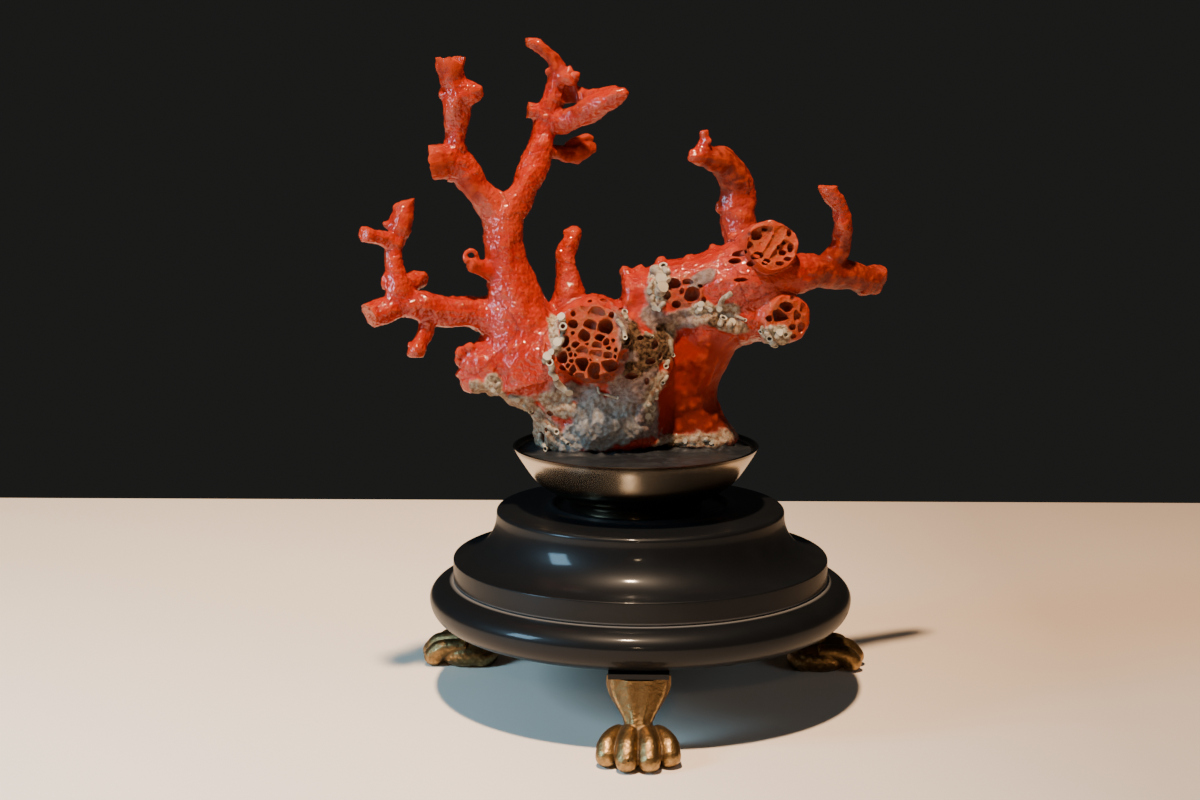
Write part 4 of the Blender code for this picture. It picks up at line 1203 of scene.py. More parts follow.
@dataclass(frozen=True)
class CastBronze:
    """Old cast bronze, rubbed bright on the high places and dark in the hollows."""

    bright: Colour = (0.38, 0.240, 0.100)
    middle: Colour = (0.170, 0.102, 0.042)
    dark: Colour = (0.050, 0.029, 0.012)

    def material(self) -> bpy.types.Material:
        """Return the finish."""
        recipe = Recipe("cast_bronze_rubbed")
        hollow = recipe.mask("hollow")
        grime = recipe.noise(1.8, 6.0, 0.65)
        rubbed = recipe.span(recipe.reckoned("ADD", recipe.times(recipe.mask("proud"), 0.7),
                                        recipe.times(grime, 0.5)), 0.28, 0.75)
        colour = recipe.blend(rubbed, self.middle, self.bright)
        colour = recipe.blend(hollow, colour, self.dark)
        relief = recipe.bump(recipe.noise(0.5, 4.0, 0.65), 0.10)
        relief = recipe.bump(recipe.noise(2.2, 3.0), 0.22, relief)
        return recipe.finish(
            Base_Color=colour, Metallic=recipe.span(hollow, 0.0, 1.0, 1.0, 0.3), Normal=relief,
            Roughness=recipe.mix(rubbed, 0.46, 0.27),
        )


@dataclass(frozen=True)
class TablePaintWithFalloff:
    """Pale paint of the table, with painted light on it: a painted falloff darkens it to the right, and it is
    cooler near the camera and warmer behind, as under a warm lamp at the back left.
    """

    near: tuple[Colour, Colour] = ((0.98, 0.86, 0.75), (0.50, 0.435, 0.38))
    far: tuple[Colour, Colour] = ((1.0, 0.84, 0.66), (0.56, 0.43, 0.32))
    mottle: Colour = (0.70, 0.62, 0.54)

    def material(self) -> bpy.types.Material:
        """Return the finish."""
        recipe = Recipe("table_paint_with_painted_falloff")
        place = recipe.node("ShaderNodeSeparateXYZ", {"Vector": recipe.here}).outputs
        # Painted light: the table darkens to the right and warms towards the back, as from lamps at the back
        # left.
        near = recipe.blend(recipe.span(place["X"], -0.05, 0.16), *self.near)
        far = recipe.blend(recipe.span(place["X"], -0.05, 0.16), *self.far)
        colour = recipe.blend(recipe.span(place["Y"], -0.09, 0.12), near, far)
        mottled = recipe.span(recipe.noise(120.0, 5.0), 0.3, 0.7, 0.0, 0.12)
        colour = recipe.blend(mottled, colour, self.mottle)
        relief = recipe.bump(recipe.noise(3.0), 0.05)
        return recipe.finish(Base_Color=colour, Roughness=0.55, Normal=relief)


@dataclass
class Colony:
    """The coral itself: one skin, bored, crusted and cut flat where the wax holds it."""

    seat: float = 82.8            # height of the flat cut above the filling
    massive_voxel: float = 1.3
    massive_rounds: int = 14
    voxel: float = 0.50
    rounds: int = 7
    warps: tuple[tuple[float, float], ...] = ((9.0, 1.1), (3.6, 0.55))
    cell_swell: float = 1.45
    cell_unevenness: tuple[float, float] = (0.95, 1.04)
    cell_wall: float = 0.17       # half the wall that is left between two cells
    bore_start: float = 12.0      # how far outside a bored face its cells are looked for
    ridge_sink: float = 0.3       # how far a ridge's middle lies inside the surface
    top_triangles: int = 190_000
    cell_sides: int = 18
    grain_stretch: float = 0.10   # how slowly the grain changes along a branch
    name: str = "coral_colony"

    def build(self) -> bpy.types.Mesh:
        """Return the colony's finished mesh with its masks."""
        mesh = self._skin()
        LOG.info("skin: %d vertices", len(mesh.vertices))
        self._roughen(mesh)
        for breaks in BREAKS:
            mesh = cut_away(mesh, self._blocks(breaks))
        mesh = self._bored(mesh)
        mesh = cut_away(mesh, self._below_seat())
        mesh = thinned(mesh, self.top_triangles)
        self._hold_in_box(mesh)
        self._write_masks(mesh)
        shade_smooth(mesh, 62.0)
        mesh.name = self.name
        return mesh

    def dress(self, mesh: bpy.types.Mesh) -> None:
        """Show the colony with its finish, in place of the eight nodes of the CAD."""
        add_piece(mesh, CoralFinish().material(), Slot.CORAL, CORAL_NODES)

    def _skin(self) -> bpy.types.Mesh:
        """Return the smooth skin before boring."""
        bm = bmesh.new()
        for rows in MASSIVE_ROUTES:
            sweep(bm, smooth_route(rows, 2.0), 20)
        for x, y, z, wide, deep, high in FOOT_LUMPS:
            add_ellipsoid(bm, (x, y, z), (wide, deep, high))
        massive = melted(to_mesh(bm, "massive"), self.massive_voxel, self.massive_rounds)
        bm = bmesh.new()
        bm.from_mesh(massive)
        tree = BVHTree.FromBMesh(bm)
        bpy.data.meshes.remove(massive)
        for rows in BRANCH_ROUTES:
            sweep(bm, smooth_route(rows, 1.2), 20)
        for radius, line in RIDGES:
            rows = [(x, y + self.ridge_sink, z, radius) for x, y, z in self._laid(tree, line)]
            sweep(bm, smooth_route(rows, 1.2), 12)
        for x, y, z, wide, deep, high in RAGGED_LUMPS:
            add_ellipsoid(bm, (x, y, z), (wide, deep, high))
        for vert in bm.verts:
            bends = [noise.noise_vector(vert.co / size) * reach for size, reach in self.warps]
            vert.co += sum(bends, Vector())
        return melted(to_mesh(bm, self.name), self.voxel, self.rounds)

    def _laid(self, tree: BVHTree, line: Sequence[tuple[float, float]]) -> Iterator[Point]:
        """Yield the points of a line, given as seen from the front, on the surface there.

        Args:
            tree: The surface.
            line: The x and z of its points.

        Returns:
            The points that meet it.
        """
        for x, z in line:
            hit = tree.ray_cast(Vector((x, -IN_FRONT, z)), BACKWARD)[0]
            if hit:
                yield x, hit.y, z

    def _roughen(self, mesh: bpy.types.Mesh) -> None:
        """Raise the skin's swellings, bumps, flutes and crusts, in millimetres.

        Args:
            mesh: The skin, which is changed.
        """
        places, normals = vertex_places(mesh), vertex_normals(mesh)
        sheen = self._sheen(places)[0]
        crusts = self._crust_masks(places, normals)
        growths = [crusts[kind] for kind in Crust if kind is not Crust.ROSY]
        covered = np.clip(sum(growths), 0.0, 1.0)
        swellings = 0.30 * cloud(places, 6.0, 2) + 0.20 * cloud(places, 2.4, 2, 7.3)
        across, along = self._grain(places)
        grain = np.column_stack((across[:, :2] + across[:, 2:], along * self.grain_stretch))
        flutes = 0.16 * cloud(grain, 1.7, 1, 3.1) * sheen
        pimples = 0.20 * smoothstep(0.15, 0.65, cloud(places, 1.35, 1, 11.7)) * (1.0 - covered) * sheen
        lumps = covered * (0.35 + 0.55 * np.abs(cloud(places, 3.2, 3, 21.0)))
        woolly = crusts[Crust.WOOLLY] + 0.8 * crusts[Crust.PALE] + 0.7 * crusts[Crust.BEIGE]
        tufts = woolly * 0.30 * cloud(places, 1.3, 2, 31.0)
        pits = crusts[Crust.BROWN] * 0.9 * smoothstep(0.15, 0.5, cloud(places, 3.6, 2, 41.0))
        height = swellings + flutes + pimples + (lumps + tufts) - pits
        move_vertices(mesh, places + normals * height[:, None])

    def _sheen(self, places: np.ndarray) -> tuple[np.ndarray, np.ndarray]:
        """Return how pimpled and wet-looking the skin is at each place, and how deep red, which is partly
        painted shade.

        Args:
            places: What to look up, one row each.

        Returns:
            Two numbers from 0 to 1 for each place.
        """
        sheen, deep = np.ones(len(places)), np.zeros(len(places))
        for x, y, z, reach, smooth, dark in SMOOTH_SPOTS:
            away = np.linalg.norm((places - (x, y, z)) * (1.0, 0.5, 1.0), axis=1)
            near = smoothstep(1.25 * reach, 0.6 * reach, away)
            sheen = np.minimum(sheen, 1.0 - smooth * near)
            deep = np.maximum(deep, dark * near)
        return sheen, deep

    def _crust_masks(self, places: np.ndarray, normals: np.ndarray) -> dict[Crust, np.ndarray]:
        """Return each growth's mask, with ragged edges.

        Args:
            places: What to look up, one row each.
            normals: The way each place faces.

        Returns:
            One number from 0 to 1 for each place, by the kind of growth.
        """
        masks = {kind: np.zeros(len(places)) for kind in Crust}
        ragged = 0.42 * cloud(places, 5.0, 3, 51.0)
        for kind, rows in PATCHES.items():
            for patch in (Patch(*row) for row in rows):
                inside = smoothstep(1.18, 0.86, patch.reach(places) + ragged)
                facing = smoothstep(-0.45, 0.05, normals[:, 1] * patch.side)
                masks[kind] = np.maximum(masks[kind], inside * facing)
        return masks

    def _grain(self, places: np.ndarray) -> tuple[np.ndarray, np.ndarray]:
        """Return each place's offset from the nearest branch's middle, and the way along it.

        Args:
            places: What to look up, one row each.

        Returns:
            The offsets across the branch, and the way, which starts anew on each branch.
        """
        routes = [smooth_route(rows, 1.0) for rows in GRAIN_ROUTES]
        middles = np.vstack(routes)
        ways, heads = [], []
        for index, route in enumerate(routes):
            steps = np.linalg.norm(np.diff(route[:, :3], axis=0), axis=1)
            ways.append(37.0 * index + np.concatenate(([0.0], np.cumsum(steps))))
            ahead = np.gradient(route[:, :3], axis=0)
            heads.append(ahead / np.linalg.norm(ahead, axis=1)[:, None])
        way, head = np.concatenate(ways), np.vstack(heads)
        tree = kdtree.KDTree(len(middles))
        for index, row in enumerate(middles):
            tree.insert(row[:3], index)
        tree.balance()
        nearest = np.array([tree.find(place)[1] for place in places.tolist()])
        offset, head = places - middles[nearest, :3], head[nearest]
        along = (offset * head).sum(axis=1)
        return offset - head * along[:, None], way[nearest] + along

    def _bored(self, mesh: bpy.types.Mesh) -> bpy.types.Mesh:
        """Cut the dishes and then the cells of every bored face.

        Args:
            mesh: The colony, which is used up.

        Returns:
            The bored colony.
        """
        chance = random.Random(11)
        for step in ("dishes", "cells"):
            tree = surface_tree(mesh)
            bm = bmesh.new()
            for face in BORED_FACES:
                axes = face.axes()
                outward = axes.to_3x3().col[2]
                rows = getattr(face, step)
                for index, (right, up, _, _, depth) in enumerate(rows):
                    start = axes @ Vector((right, up, self.bore_start))
                    hit = tree.ray_cast(start, -outward)[0]
                    if hit:
                        place = Matrix.Translation(hit) @ axes.to_3x3().to_4x4()
                        self._add_plug(bm, place, self._outline(rows, index, chance), depth)
            bmesh.ops.recalc_face_normals(bm, faces=bm.faces)
            mesh = cut_away(mesh, to_mesh(bm, step))
        return mesh

    def _outline(
        self, rows: Sequence[tuple[float, ...]], index: int, chance: random.Random,
    ) -> list[tuple[float, float]]:
        """Return one cell's outline about its own middle, swollen against its neighbours.

        Args:
            rows: All cells of the face.
            index: Which of them.
            chance: Where its unevenness comes from.

        Returns:
            The outline's corners.
        """
        right, up, half_width, half_height = rows[index][:4]
        own = (half_width + half_height) / 2
        outline = []
        for side in range(self.cell_sides):
            angle = math.tau * side / self.cell_sides
            way = Vector((math.cos(angle), math.sin(angle)))
            swell = self.cell_swell * chance.uniform(*self.cell_unevenness)
            reach = swell / math.hypot(way.x / half_width, way.y / half_height)
            for other in rows[:index] + rows[index + 1:]:
                gap = Vector((other[0] - right, other[1] - up))
                ahead = way.dot(gap.normalized())
                share = own / (own + (other[2] + other[3]) / 2)
                if ahead > 0.05:
                    reach = min(reach, max(gap.length * share - self.cell_wall, 0.3 * own) / ahead)
            outline.append((way.x * reach, way.y * reach))
        return outline

    def _add_plug(
        self, bm: bmesh.types.BMesh, place: Matrix, outline: Sequence[tuple[float, float]], depth: float,
    ) -> None:
        """Add a round-floored plug with an outline, that reaches a depth below a place.

        Args:
            bm: Where the plug goes.
            place: The face's axes, with their origin on the surface.
            outline: Its corners to the right and up.
            depth: How deep it reaches.
        """
        profile = ((1.4, 1.0), (0.0, 1.0), (-0.45, 0.93), (-0.75, 0.72), (-0.94, 0.40))
        loops = []
        for reach, share in profile:
            offset = reach if reach > 0 else reach * depth
            ring = bmesh.ops.create_circle(bm, segments=self.cell_sides, radius=1.0)["verts"]
            for vert, (x, y) in zip(ring, outline):
                vert.co = place @ Vector((x * share, y * share, offset))
            loops.append(edges_of(ring))
        close_skin(bm, loops, self.cell_sides)

    def _blocks(self, breaks: Sequence[tuple[Point, Point, tuple[float, float]]]) -> bpy.types.Mesh:
        """Return the rough-faced blocks that cut the branches' broken ends flat.

        Args:
            breaks: A round of breaks: point, way it faces, and half its width and depth.

        Returns:
            The blocks.
        """
        bm = bmesh.new()
        for point, outward, (wide, deep) in breaks:
            turn = Vector(outward).to_track_quat("Z", "Y").to_matrix().to_4x4()
            place = Matrix.Translation(Vector(point)) @ turn @ Matrix.Translation((0, 0, wide))
            size = Matrix.Diagonal((wide, deep, wide, 1.0))
            cube = bmesh.ops.create_cube(bm, size=2.0, matrix=place @ size)["verts"]
            bmesh.ops.subdivide_edges(
                bm, edges=edges_of(cube), cuts=max(3, round(1.6 * wide)), use_grid_fill=True)
        for vert in bm.verts:
            vert.co += noise.noise_vector(vert.co / 2.6) * 0.75 + noise.noise_vector(vert.co / 1.1) * 0.25
        return to_mesh(bm, "breaks")

    def _below_seat(self) -> bpy.types.Mesh:
        """Return the block that cuts the colony's foot off flat."""
        bm = bmesh.new()
        height = 60.0
        place = Matrix.Translation((0, 0, self.seat - height / 2)) @ Matrix.Diagonal((190, 190, height, 1))
        bmesh.ops.create_cube(bm, size=1.0, matrix=place)
        return to_mesh(bm, "below_seat")

    def _hold_in_box(self, mesh: bpy.types.Mesh) -> None:
        """Keep every vertex inside the box of the CAD."""
        into_stand = TO_ROW.inverted()
        low, high = (into_stand @ Vector(corner) for corner in CAD_CORNERS)
        move_vertices(mesh, np.clip(vertex_places(mesh), low, high))

    def _write_masks(self, mesh: bpy.types.Mesh) -> None:
        """Keep what the finish needs to know of each vertex.

        Args:
            mesh: The finished colony.
        """
        places, normals = vertex_places(mesh), vertex_normals(mesh)
        disc = self._disc(places)
        bored = self._depth_in_cells(places)
        for kind, mask in self._crust_masks(places, normals).items():
            write_mask(mesh, kind.value, mask * (1.0 - bored) * (1.0 - disc * (kind != Crust.PALE)))
        sheen, deep = self._sheen(places)
        across, along = self._grain(places)
        # Painted shade: the lower right of the colony, round the pillar under the wing, is darkened to deep
        # red.
        low = smoothstep(116.0, 94.0, places[:, 2]) * smoothstep(4.0, 14.0, places[:, 0])
        right = smoothstep(22.0, 30.0, places[:, 0]) * smoothstep(128.0, 112.0, places[:, 2])
        # Darkest within about 2 mm above the flat cut, where the wax meets the skin.
        above_seat = places[:, 2] - self.seat + 0.8 * cloud(places, 2.5, 2, 61.0)
        masks = {
            "disc": self._stumps(places, normals, disc),
            "bored": bored,
            "sheen": sheen,
            "broken": self._broken(mesh, places),
            "deep_red_and_shade": np.clip(np.maximum(deep, 0.85 * low + 0.5 * right), 0.0, 0.92),
            "dark_above_seat": smoothstep(2.2, 0.5, above_seat),
            "grain_along": along * MM * self.grain_stretch,
        }
        for name, values in masks.items():
            write_mask(mesh, name, values)
        layer = mesh.attributes.new("grain_across", "FLOAT_VECTOR", "POINT")
        layer.data.foreach_set("vector", (across * MM).astype(np.float32).ravel())

    def _disc(self, places: np.ndarray) -> np.ndarray:
        """Return where the large bored face is, with a ragged edge and a little wider above.

        Args:
            places: What to look up, one row each.

        Returns:
            One number from 0 to 1 for each place.
        """
        right, up, out = BORED_FACES[0].local(places).T[:3]
        ragged = 1.2 * cloud(places, 4.0, 2, 17.0)
        away = np.hypot(right / 0.86, up + 0.6 - 0.12 * np.maximum(up, 0.0)) + ragged
        return smoothstep(12.6, 11.2, away) * (out > -7) * (out < 5)

    def _stumps(self, places: np.ndarray, normals: np.ndarray, disc: np.ndarray) -> np.ndarray:
        """Return where broken faces are: the large one and, more faintly, the smaller ones.

        Args:
            places: What to look up, one row each.
            normals: The way each place faces.
            disc: Where the large face is.

        Returns:
            One number from 0 to 1 for each place.
        """
        front = smoothstep(0.2, 0.6, -normals[:, 1])
        for centre, reach in SMALL_STUMPS:
            near = np.linalg.norm(places - centre, axis=1) + 1.2 * cloud(places, 3.0, 2, 23.0)
            disc = np.maximum(disc, 0.75 * smoothstep(reach, 0.75 * reach, near) * front)
        return disc

    def _depth_in_cells(self, places: np.ndarray) -> np.ndarray:
        """Return how deep each place lies in a bored cell, from 0 to 1.

        Args:
            places: What to look up, one row each.

        Returns:
            One number for each place.
        """
        deepest = np.zeros(len(places))
        for face in BORED_FACES:
            local = face.local(places)
            for right, up, half_width, half_height, depth in face.cells:
                away = np.hypot((local[:, 0] - right) / half_width, (local[:, 1] - up) / half_height)
                away /= self.cell_swell
                within = smoothstep(1.12, 0.80, away) * (local[:, 2] > -12) * (local[:, 2] < 5)
                top = np.max(local[(away > 1.0) & (away < 1.5) & (local[:, 2] > -9), 2], initial=-9.0)
                below = smoothstep(0.3, 0.75 * max(depth, 2.0), top - local[:, 2])
                deepest = np.maximum(deepest, within * below * min(1.0, depth / 3.6))
        return deepest

    def _broken(self, mesh: bpy.types.Mesh, places: np.ndarray) -> np.ndarray:
        """Return where the skin is paler: broken ends, rims and the walls between cells.

        Args:
            mesh: The colony.
            places: Its vertices' places.

        Returns:
            One number from 0 to 1 for each vertex.
        """
        pale = smoothstep(0.010, 0.045, -cavity(mesh, 2)) * 0.55
        for rows in BRANCH_ROUTES:
            beside = np.linalg.norm(places - rows[-1][:3], axis=1)
            pale = np.maximum(pale, 0.45 * smoothstep(2.0 * rows[-1][3], 0.9 * rows[-1][3], beside))
        for point, outward, (half, _) in BREAKS[0]:
            beyond = (places - point) @ np.array(Vector(outward).normalized())
            beside = np.linalg.norm(places - point, axis=1)
            pale = np.maximum(pale, 0.7 * smoothstep(1.3, 0.4, np.abs(beyond)) * (beside < half + 1.0))
        return pale


@dataclass
class WormTubes:
    """Chalky tubes with open mouths, laid on the front of the colony."""

    sides: int = 12
    bore: float = 0.66            # of the tube's radius
    bore_depth: float = 1.5       # in radii
    sink: float = 0.25            # how far a tube's middle stands out of the surface, in radii
    flare: float = 1.12           # how much wider the mouth is
    name: str = "worm_tubes"

    def build(self, colony: bpy.types.Mesh) -> bpy.types.Mesh:
        """Return all tubes as one mesh.

        Args:
            colony: The surface that they lie on, in the stand's frame.

        Returns:
            The tubes.
        """
        tree = surface_tree(colony)
        bm = bmesh.new()
        bm.verts.layers.float.new("bored")
        bm.verts.layers.float.new("lip")
        for radius, line in WORM_TUBES:
            self._add_tube(bm, tree, radius, line)
        bmesh.ops.recalc_face_normals(bm, faces=bm.faces)
        mesh = to_mesh(bm, self.name)
        places = vertex_places(mesh)
        move_vertices(mesh, places + vertex_normals(mesh) * 0.26 * cloud(places, 1.2, 2)[:, None])
        shade_smooth(mesh, 50.0)
        return mesh

    def dress(self, mesh: bpy.types.Mesh) -> None:
        """Show the tubes."""
        add_piece(mesh, ChalkFinish().material(), Slot.CORAL)

    def _add_tube(
        self, bm: bmesh.types.BMesh, tree: BVHTree, radius: float, line: Sequence[tuple[float, float]],
    ) -> None:
        """Add one tube: along the surface, out at its mouth and back down its bore.

        Args:
            bm: Where the tube goes.
            tree: The surface that it lies on.
            radius: Its own.
            line: The x and z of its points.
        """
        rows = []
        outward = Vector((0.0, -1.0, 0.0))
        for x, z in line:
            hit, normal = tree.ray_cast(Vector((x, -IN_FRONT, z)), BACKWARD)[:2]
            if hit:
                outward = normal
                rows.append((*(hit + normal * (radius * self.sink)), radius))
        if len(rows) < 2:
            return
        end = Vector(rows[-1][:3])
        along = (end - Vector(rows[-2][:3])).normalized()
        lift = (along * 0.3 + outward + Vector((0.0, -0.5, 0.0))).normalized()
        mouth = end + (along * 0.3 + lift) * radius * 0.8
        rows.append((*mouth, radius * self.flare))
        outer = smooth_route(rows, max(0.6, radius * 0.7))
        start = outer[0].copy()
        start[:3] -= (outer[1, :3] - outer[0, :3]) * 0.7
        start[3] *= 0.5
        rings = sweep(bm, np.vstack((start, outer)), self.sides)
        self._add_bore(bm, rings[-1], mouth, lift, radius)

    def _add_bore(
        self, bm: bmesh.types.BMesh, mouth_ring: list[bmesh.types.BMVert], mouth: Vector, lift: Vector,
        radius: float,
    ) -> None:
        """Open a tube's end and lead its skin back down inside.

        Args:
            bm: Where the tube is.
            mouth_ring: The last ring of its outside, which is still closed by a face.
            mouth: The middle of its mouth.
            lift: The way the mouth faces.
            radius: The tube's own radius.
        """
        lip = [edge for edge in edges_of(mouth_ring) if all(vert in mouth_ring for vert in edge.verts)]
        cap = [face for face in mouth_ring[0].link_faces if len(face.verts) == self.sides]
        bmesh.ops.delete(bm, geom=cap, context="FACES_ONLY")
        in_bore, on_lip = (bm.verts.layers.float[name] for name in ("bored", "lip"))
        # The mouth ring is marked for the lip's painted highlight.
        for vert in mouth_ring:
            vert[on_lip] = 1.0
        turn = lift.to_track_quat("Z", "Y").to_matrix().to_4x4()
        steps = ((0.0, self.bore + 0.18), (0.15, self.bore), (self.bore_depth * radius, self.bore * 0.8))
        for index, (back, share) in enumerate(steps):
            place = Matrix.Translation(mouth - lift * back) @ turn
            ring = bmesh.ops.create_circle(
                bm, segments=self.sides, radius=radius * share, matrix=place)["verts"]
            # The bore's rings carry the mask for its painted shade, and the lip's painted highlight fades
            # down into them.
            for vert in ring:
                vert[on_lip] = 1.0 - 0.5 * index
                vert[in_bore] = 0.5 * index
            loop = edges_of(ring)
            bmesh.ops.bridge_loops(bm, edges=lip + loop)
            lip = loop
        bmesh.ops.holes_fill(bm, edges=lip, sides=self.sides)


@dataclass
class Cup:
    """The shallow bowl of silvered brass."""

    shift: float = -1.6
    rim_radius: float = 40.55
    rim_height: float = 83.85
    wall: float = 1.0
    seat_radius: float = 22.0
    seat_height: float = 63.6
    nicks: tuple[Row, ...] = (    # dents near the rim: x, y, z and size
        (-9.8, -38.4, 82.4, 0.9), (0.4, -40.3, 82.6, 0.9), (-8.9, -38.9, 81.6, 0.6))
    steps: int = 160

    def outline(self, inset: float) -> list[tuple[float, float]]:
        """Return the outer line from rim to seat, moved inward by an inset.

        Args:
            inset: How far inward, at right angles to the wall.

        Returns:
            Radius and height of its points.
        """
        line = ((self.rim_radius, self.rim_height), (38.6, 80.5), (34.3, 74.2), (31.0, 71.0),
                (27.2, 68.6), (22.4, 66.6), (self.seat_radius, self.seat_height))
        curve = smooth_route([(radius, height, 0.0) for radius, height in line], 0.8)[:, :2]
        moved = []
        for radius, height in curve:
            slope = 0.6 + 0.4 * (self.rim_height - height) / (self.rim_height - self.seat_height)
            moved.append((radius - inset * (1.25 - 0.45 * slope), height + inset * slope))
        return moved

    def build(self) -> bpy.types.Mesh:
        """Turn the bowl with its thin wall, rounded rim and low inner floor."""
        outside = self.outline(0.0)
        inside = self.outline(self.wall)
        top = self.rim_height
        inside = [(inside[0][0], top - 0.30)] + inside[1:]
        lip = [(inside[0][0] + 0.12, top - 0.06), (self.rim_radius - 0.42, top + 0.09),
               (self.rim_radius - 0.12, top + 0.07)]
        profile = [(0.0, inside[-1][1])] + inside[::-1] + lip + outside + [(0.0, self.seat_height)]
        mesh = turned("cup_bowl", profile, self.steps, self.shift)
        places = vertex_places(mesh)
        # Painted reflection: the bowl darkens towards its foot, as if mirroring the black wood below.
        write_mask(mesh, "dark_reflection_low_on_bowl", smoothstep(78.5, 71.0, places[:, 2]))
        # Besides the dents, the rim's top 1.5 mm, inside and out, is darkened.
        nicks = 0.85 * smoothstep(top - 1.5, top - 0.6, places[:, 2])
        for *middle, size in self.nicks:
            away = np.linalg.norm(places - middle, axis=1)
            nicks = np.maximum(nicks, smoothstep(size, 0.4 * size, away))
        write_mask(mesh, "nicks", nicks)
        shade_smooth(mesh, 40.0)
        return mesh

    def dress(self, mesh: bpy.types.Mesh) -> None:
        """Show the bowl in place of the CAD's cup."""
        add_piece(mesh, SilveredBrass().material(), Slot.METAL, ("cup",))


@dataclass
class Filling:
    """The black wax in the bowl, drawn up a little round the coral's foot."""

    cup: Cup
    level: float = 82.5
    edge: float = 0.8             # the top edge stands this far outside the wall below it
    clearance: float = 0.3
    rings: int = 60
    steps: int = 180

    def build(self, colony: bpy.types.Mesh) -> bpy.types.Mesh:
        """Turn the filling and raise its top against the coral.

        Args:
            colony: The coral, in the stand's frame.

        Returns:
            The filling.
        """
        wall = [point for point in self.cup.outline(self.cup.wall + self.clearance)
                if point[1] < self.level - 0.8]
        rim = wall[0][0] + self.edge
        top = [(rim * share, self.level) for share in np.linspace(0.0, 1.0, self.rings) ** 0.8]
        mesh = turned("wax_filling", top + wall + [(0.0, wall[-1][1])], self.steps, self.cup.shift)
        places = vertex_places(mesh)
        tree = surface_tree(colony)
        flat = places[:, 2] > self.level - 0.01
        away = np.array([
            tree.find_nearest(Vector((x, y, self.level + 0.6)))[3] if is_flat else 99.0
            for (x, y, _), is_flat in zip(places.tolist(), flat)])
        drawn = 1.7 * np.exp(-(np.maximum(away - 0.4, 0.0) / 1.5) ** 2) * (0.55 + 0.6 * cloud(places, 4.0, 3))
        ripple = 0.14 * cloud(places, 9.0, 2, 5.0)
        distance = np.hypot(places[:, 0] - self.cup.shift, places[:, 1])
        places[:, 2] += flat * (np.maximum(drawn, 0.0) + ripple * smoothstep(rim, rim - 3.0, distance))
        move_vertices(mesh, places)
        shade_smooth(mesh, 40.0)
        return mesh

    def dress(self, mesh: bpy.types.Mesh) -> None:
        """Show the filling in place of the CAD's."""
        add_piece(mesh, BlackWax().material(), Slot.FILLING, ("cup_fill",))


@dataclass
class Stand:
    """The turned stand: plinth with its collar, drum, flare and lip, and the round moulding."""

    moulding_radius: float = 70.0
    moulding_top: float = 39.2
    moulding_widest: float = 33.5
    moulding_bottom: float = 25.8
    moulding_centre: float = 62.0
    lip_radius: float = 62.1
    lip_top: float = 46.8
    drum_radius: float = 47.65
    drum_edge: float = 1.3
    drum_top: float = 63.3
    collar_radius: float = 30.0
    collar_top: float = 64.8
    cup_seat: float = 63.3
    gap: float = 0.3
    steps: int = 192

    def plinth(self) -> bpy.types.Mesh:
        """Turn the plinth."""
        underside = self.moulding_top + self.gap
        collar, drum = self.collar_radius, self.drum_radius
        profile = [(0.0, self.cup_seat), (collar - 2.2, self.cup_seat)]
        profile += arc((collar - 0.7, self.collar_top - 0.5), 0.75, 0.5, 175, 0, 7)
        profile += [(collar + 0.5, self.drum_top + 0.55), (collar + 1.4, self.drum_top + 0.24)]
        profile += [(collar + 4.0, self.drum_top - 0.05), (drum - 6.0, self.drum_top - 0.02)]
        edge, flare_top = self.drum_edge, self.drum_top - self.drum_edge - 0.5
        profile += arc((drum - edge, self.drum_top - 0.1 - edge), edge, edge, 88, 0, 8)
        middle = self.lip_radius - 0.9
        profile += arc((middle, flare_top), middle - drum, flare_top - self.lip_top, 180, 268, 26)
        profile += arc((self.lip_radius - 0.5, self.lip_top - 0.52), 0.5, 0.5, 90, 0, 6)
        profile += [(self.lip_radius, underside + rise) for rise in (1.6, 1.1, 0.75, 0.4)]
        profile += [(self.lip_radius - 0.4, underside)]
        profile += [(0.0, underside)]
        mesh = turned("turned_plinth", profile, self.steps)
        shade_smooth(mesh, 40.0)
        return mesh

    def moulding(self) -> bpy.types.Mesh:
        """Turn the round lower moulding, a little fuller above its widest line."""
        reach = self.moulding_radius - self.moulding_centre
        middle = (self.moulding_centre, self.moulding_widest)
        upper = [(self.lip_radius - 0.6, self.moulding_top), (self.lip_radius - 0.2, self.moulding_top)]
        upper += arc(middle, reach, self.moulding_top - self.moulding_widest, 88, 0, 20)
        lower = arc(middle, reach, self.moulding_widest - self.moulding_bottom, 0, -90, 16)
        profile = [(0.0, self.moulding_top)] + upper + lower[1:] + [(0.0, self.moulding_bottom)]
        mesh = turned("round_moulding", profile, self.steps)
        shade_smooth(mesh, 32.0)
        return mesh

    def build(self) -> dict[str, bpy.types.Mesh]:
        """Return each turning by the CAD node that it stands for."""
        return {"plinth": self.plinth(), "lower_moulding": self.moulding()}

    def dress(self, meshes: dict[str, bpy.types.Mesh]) -> None:
        """Show the turnings, and polish the foot blocks, which stay as the CAD has them.

        Args:
            meshes: Each turning, by the CAD node that it stands for.
        """
        polish = EbonisedWood().material()
        for node, mesh in meshes.items():
            x, y, z = vertex_places(mesh).T
            away = np.hypot(np.hypot(x, y) - self.lip_radius, z - self.moulding_top)
            write_mask(mesh, "seam", 0.8 * smoothstep(1.15, 0.55, away))
            add_piece(mesh, polish, Slot.WOOD, (node,))
        for side in FootSide:
            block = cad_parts[side.value + "_foot_block"]
            block.data.materials.clear()
            block.data.materials.append(polish)


class FootSide(Enum):
    """Where the three feet stand."""

    FRONT = "front"
    LEFT = "left"
    RIGHT = "right"


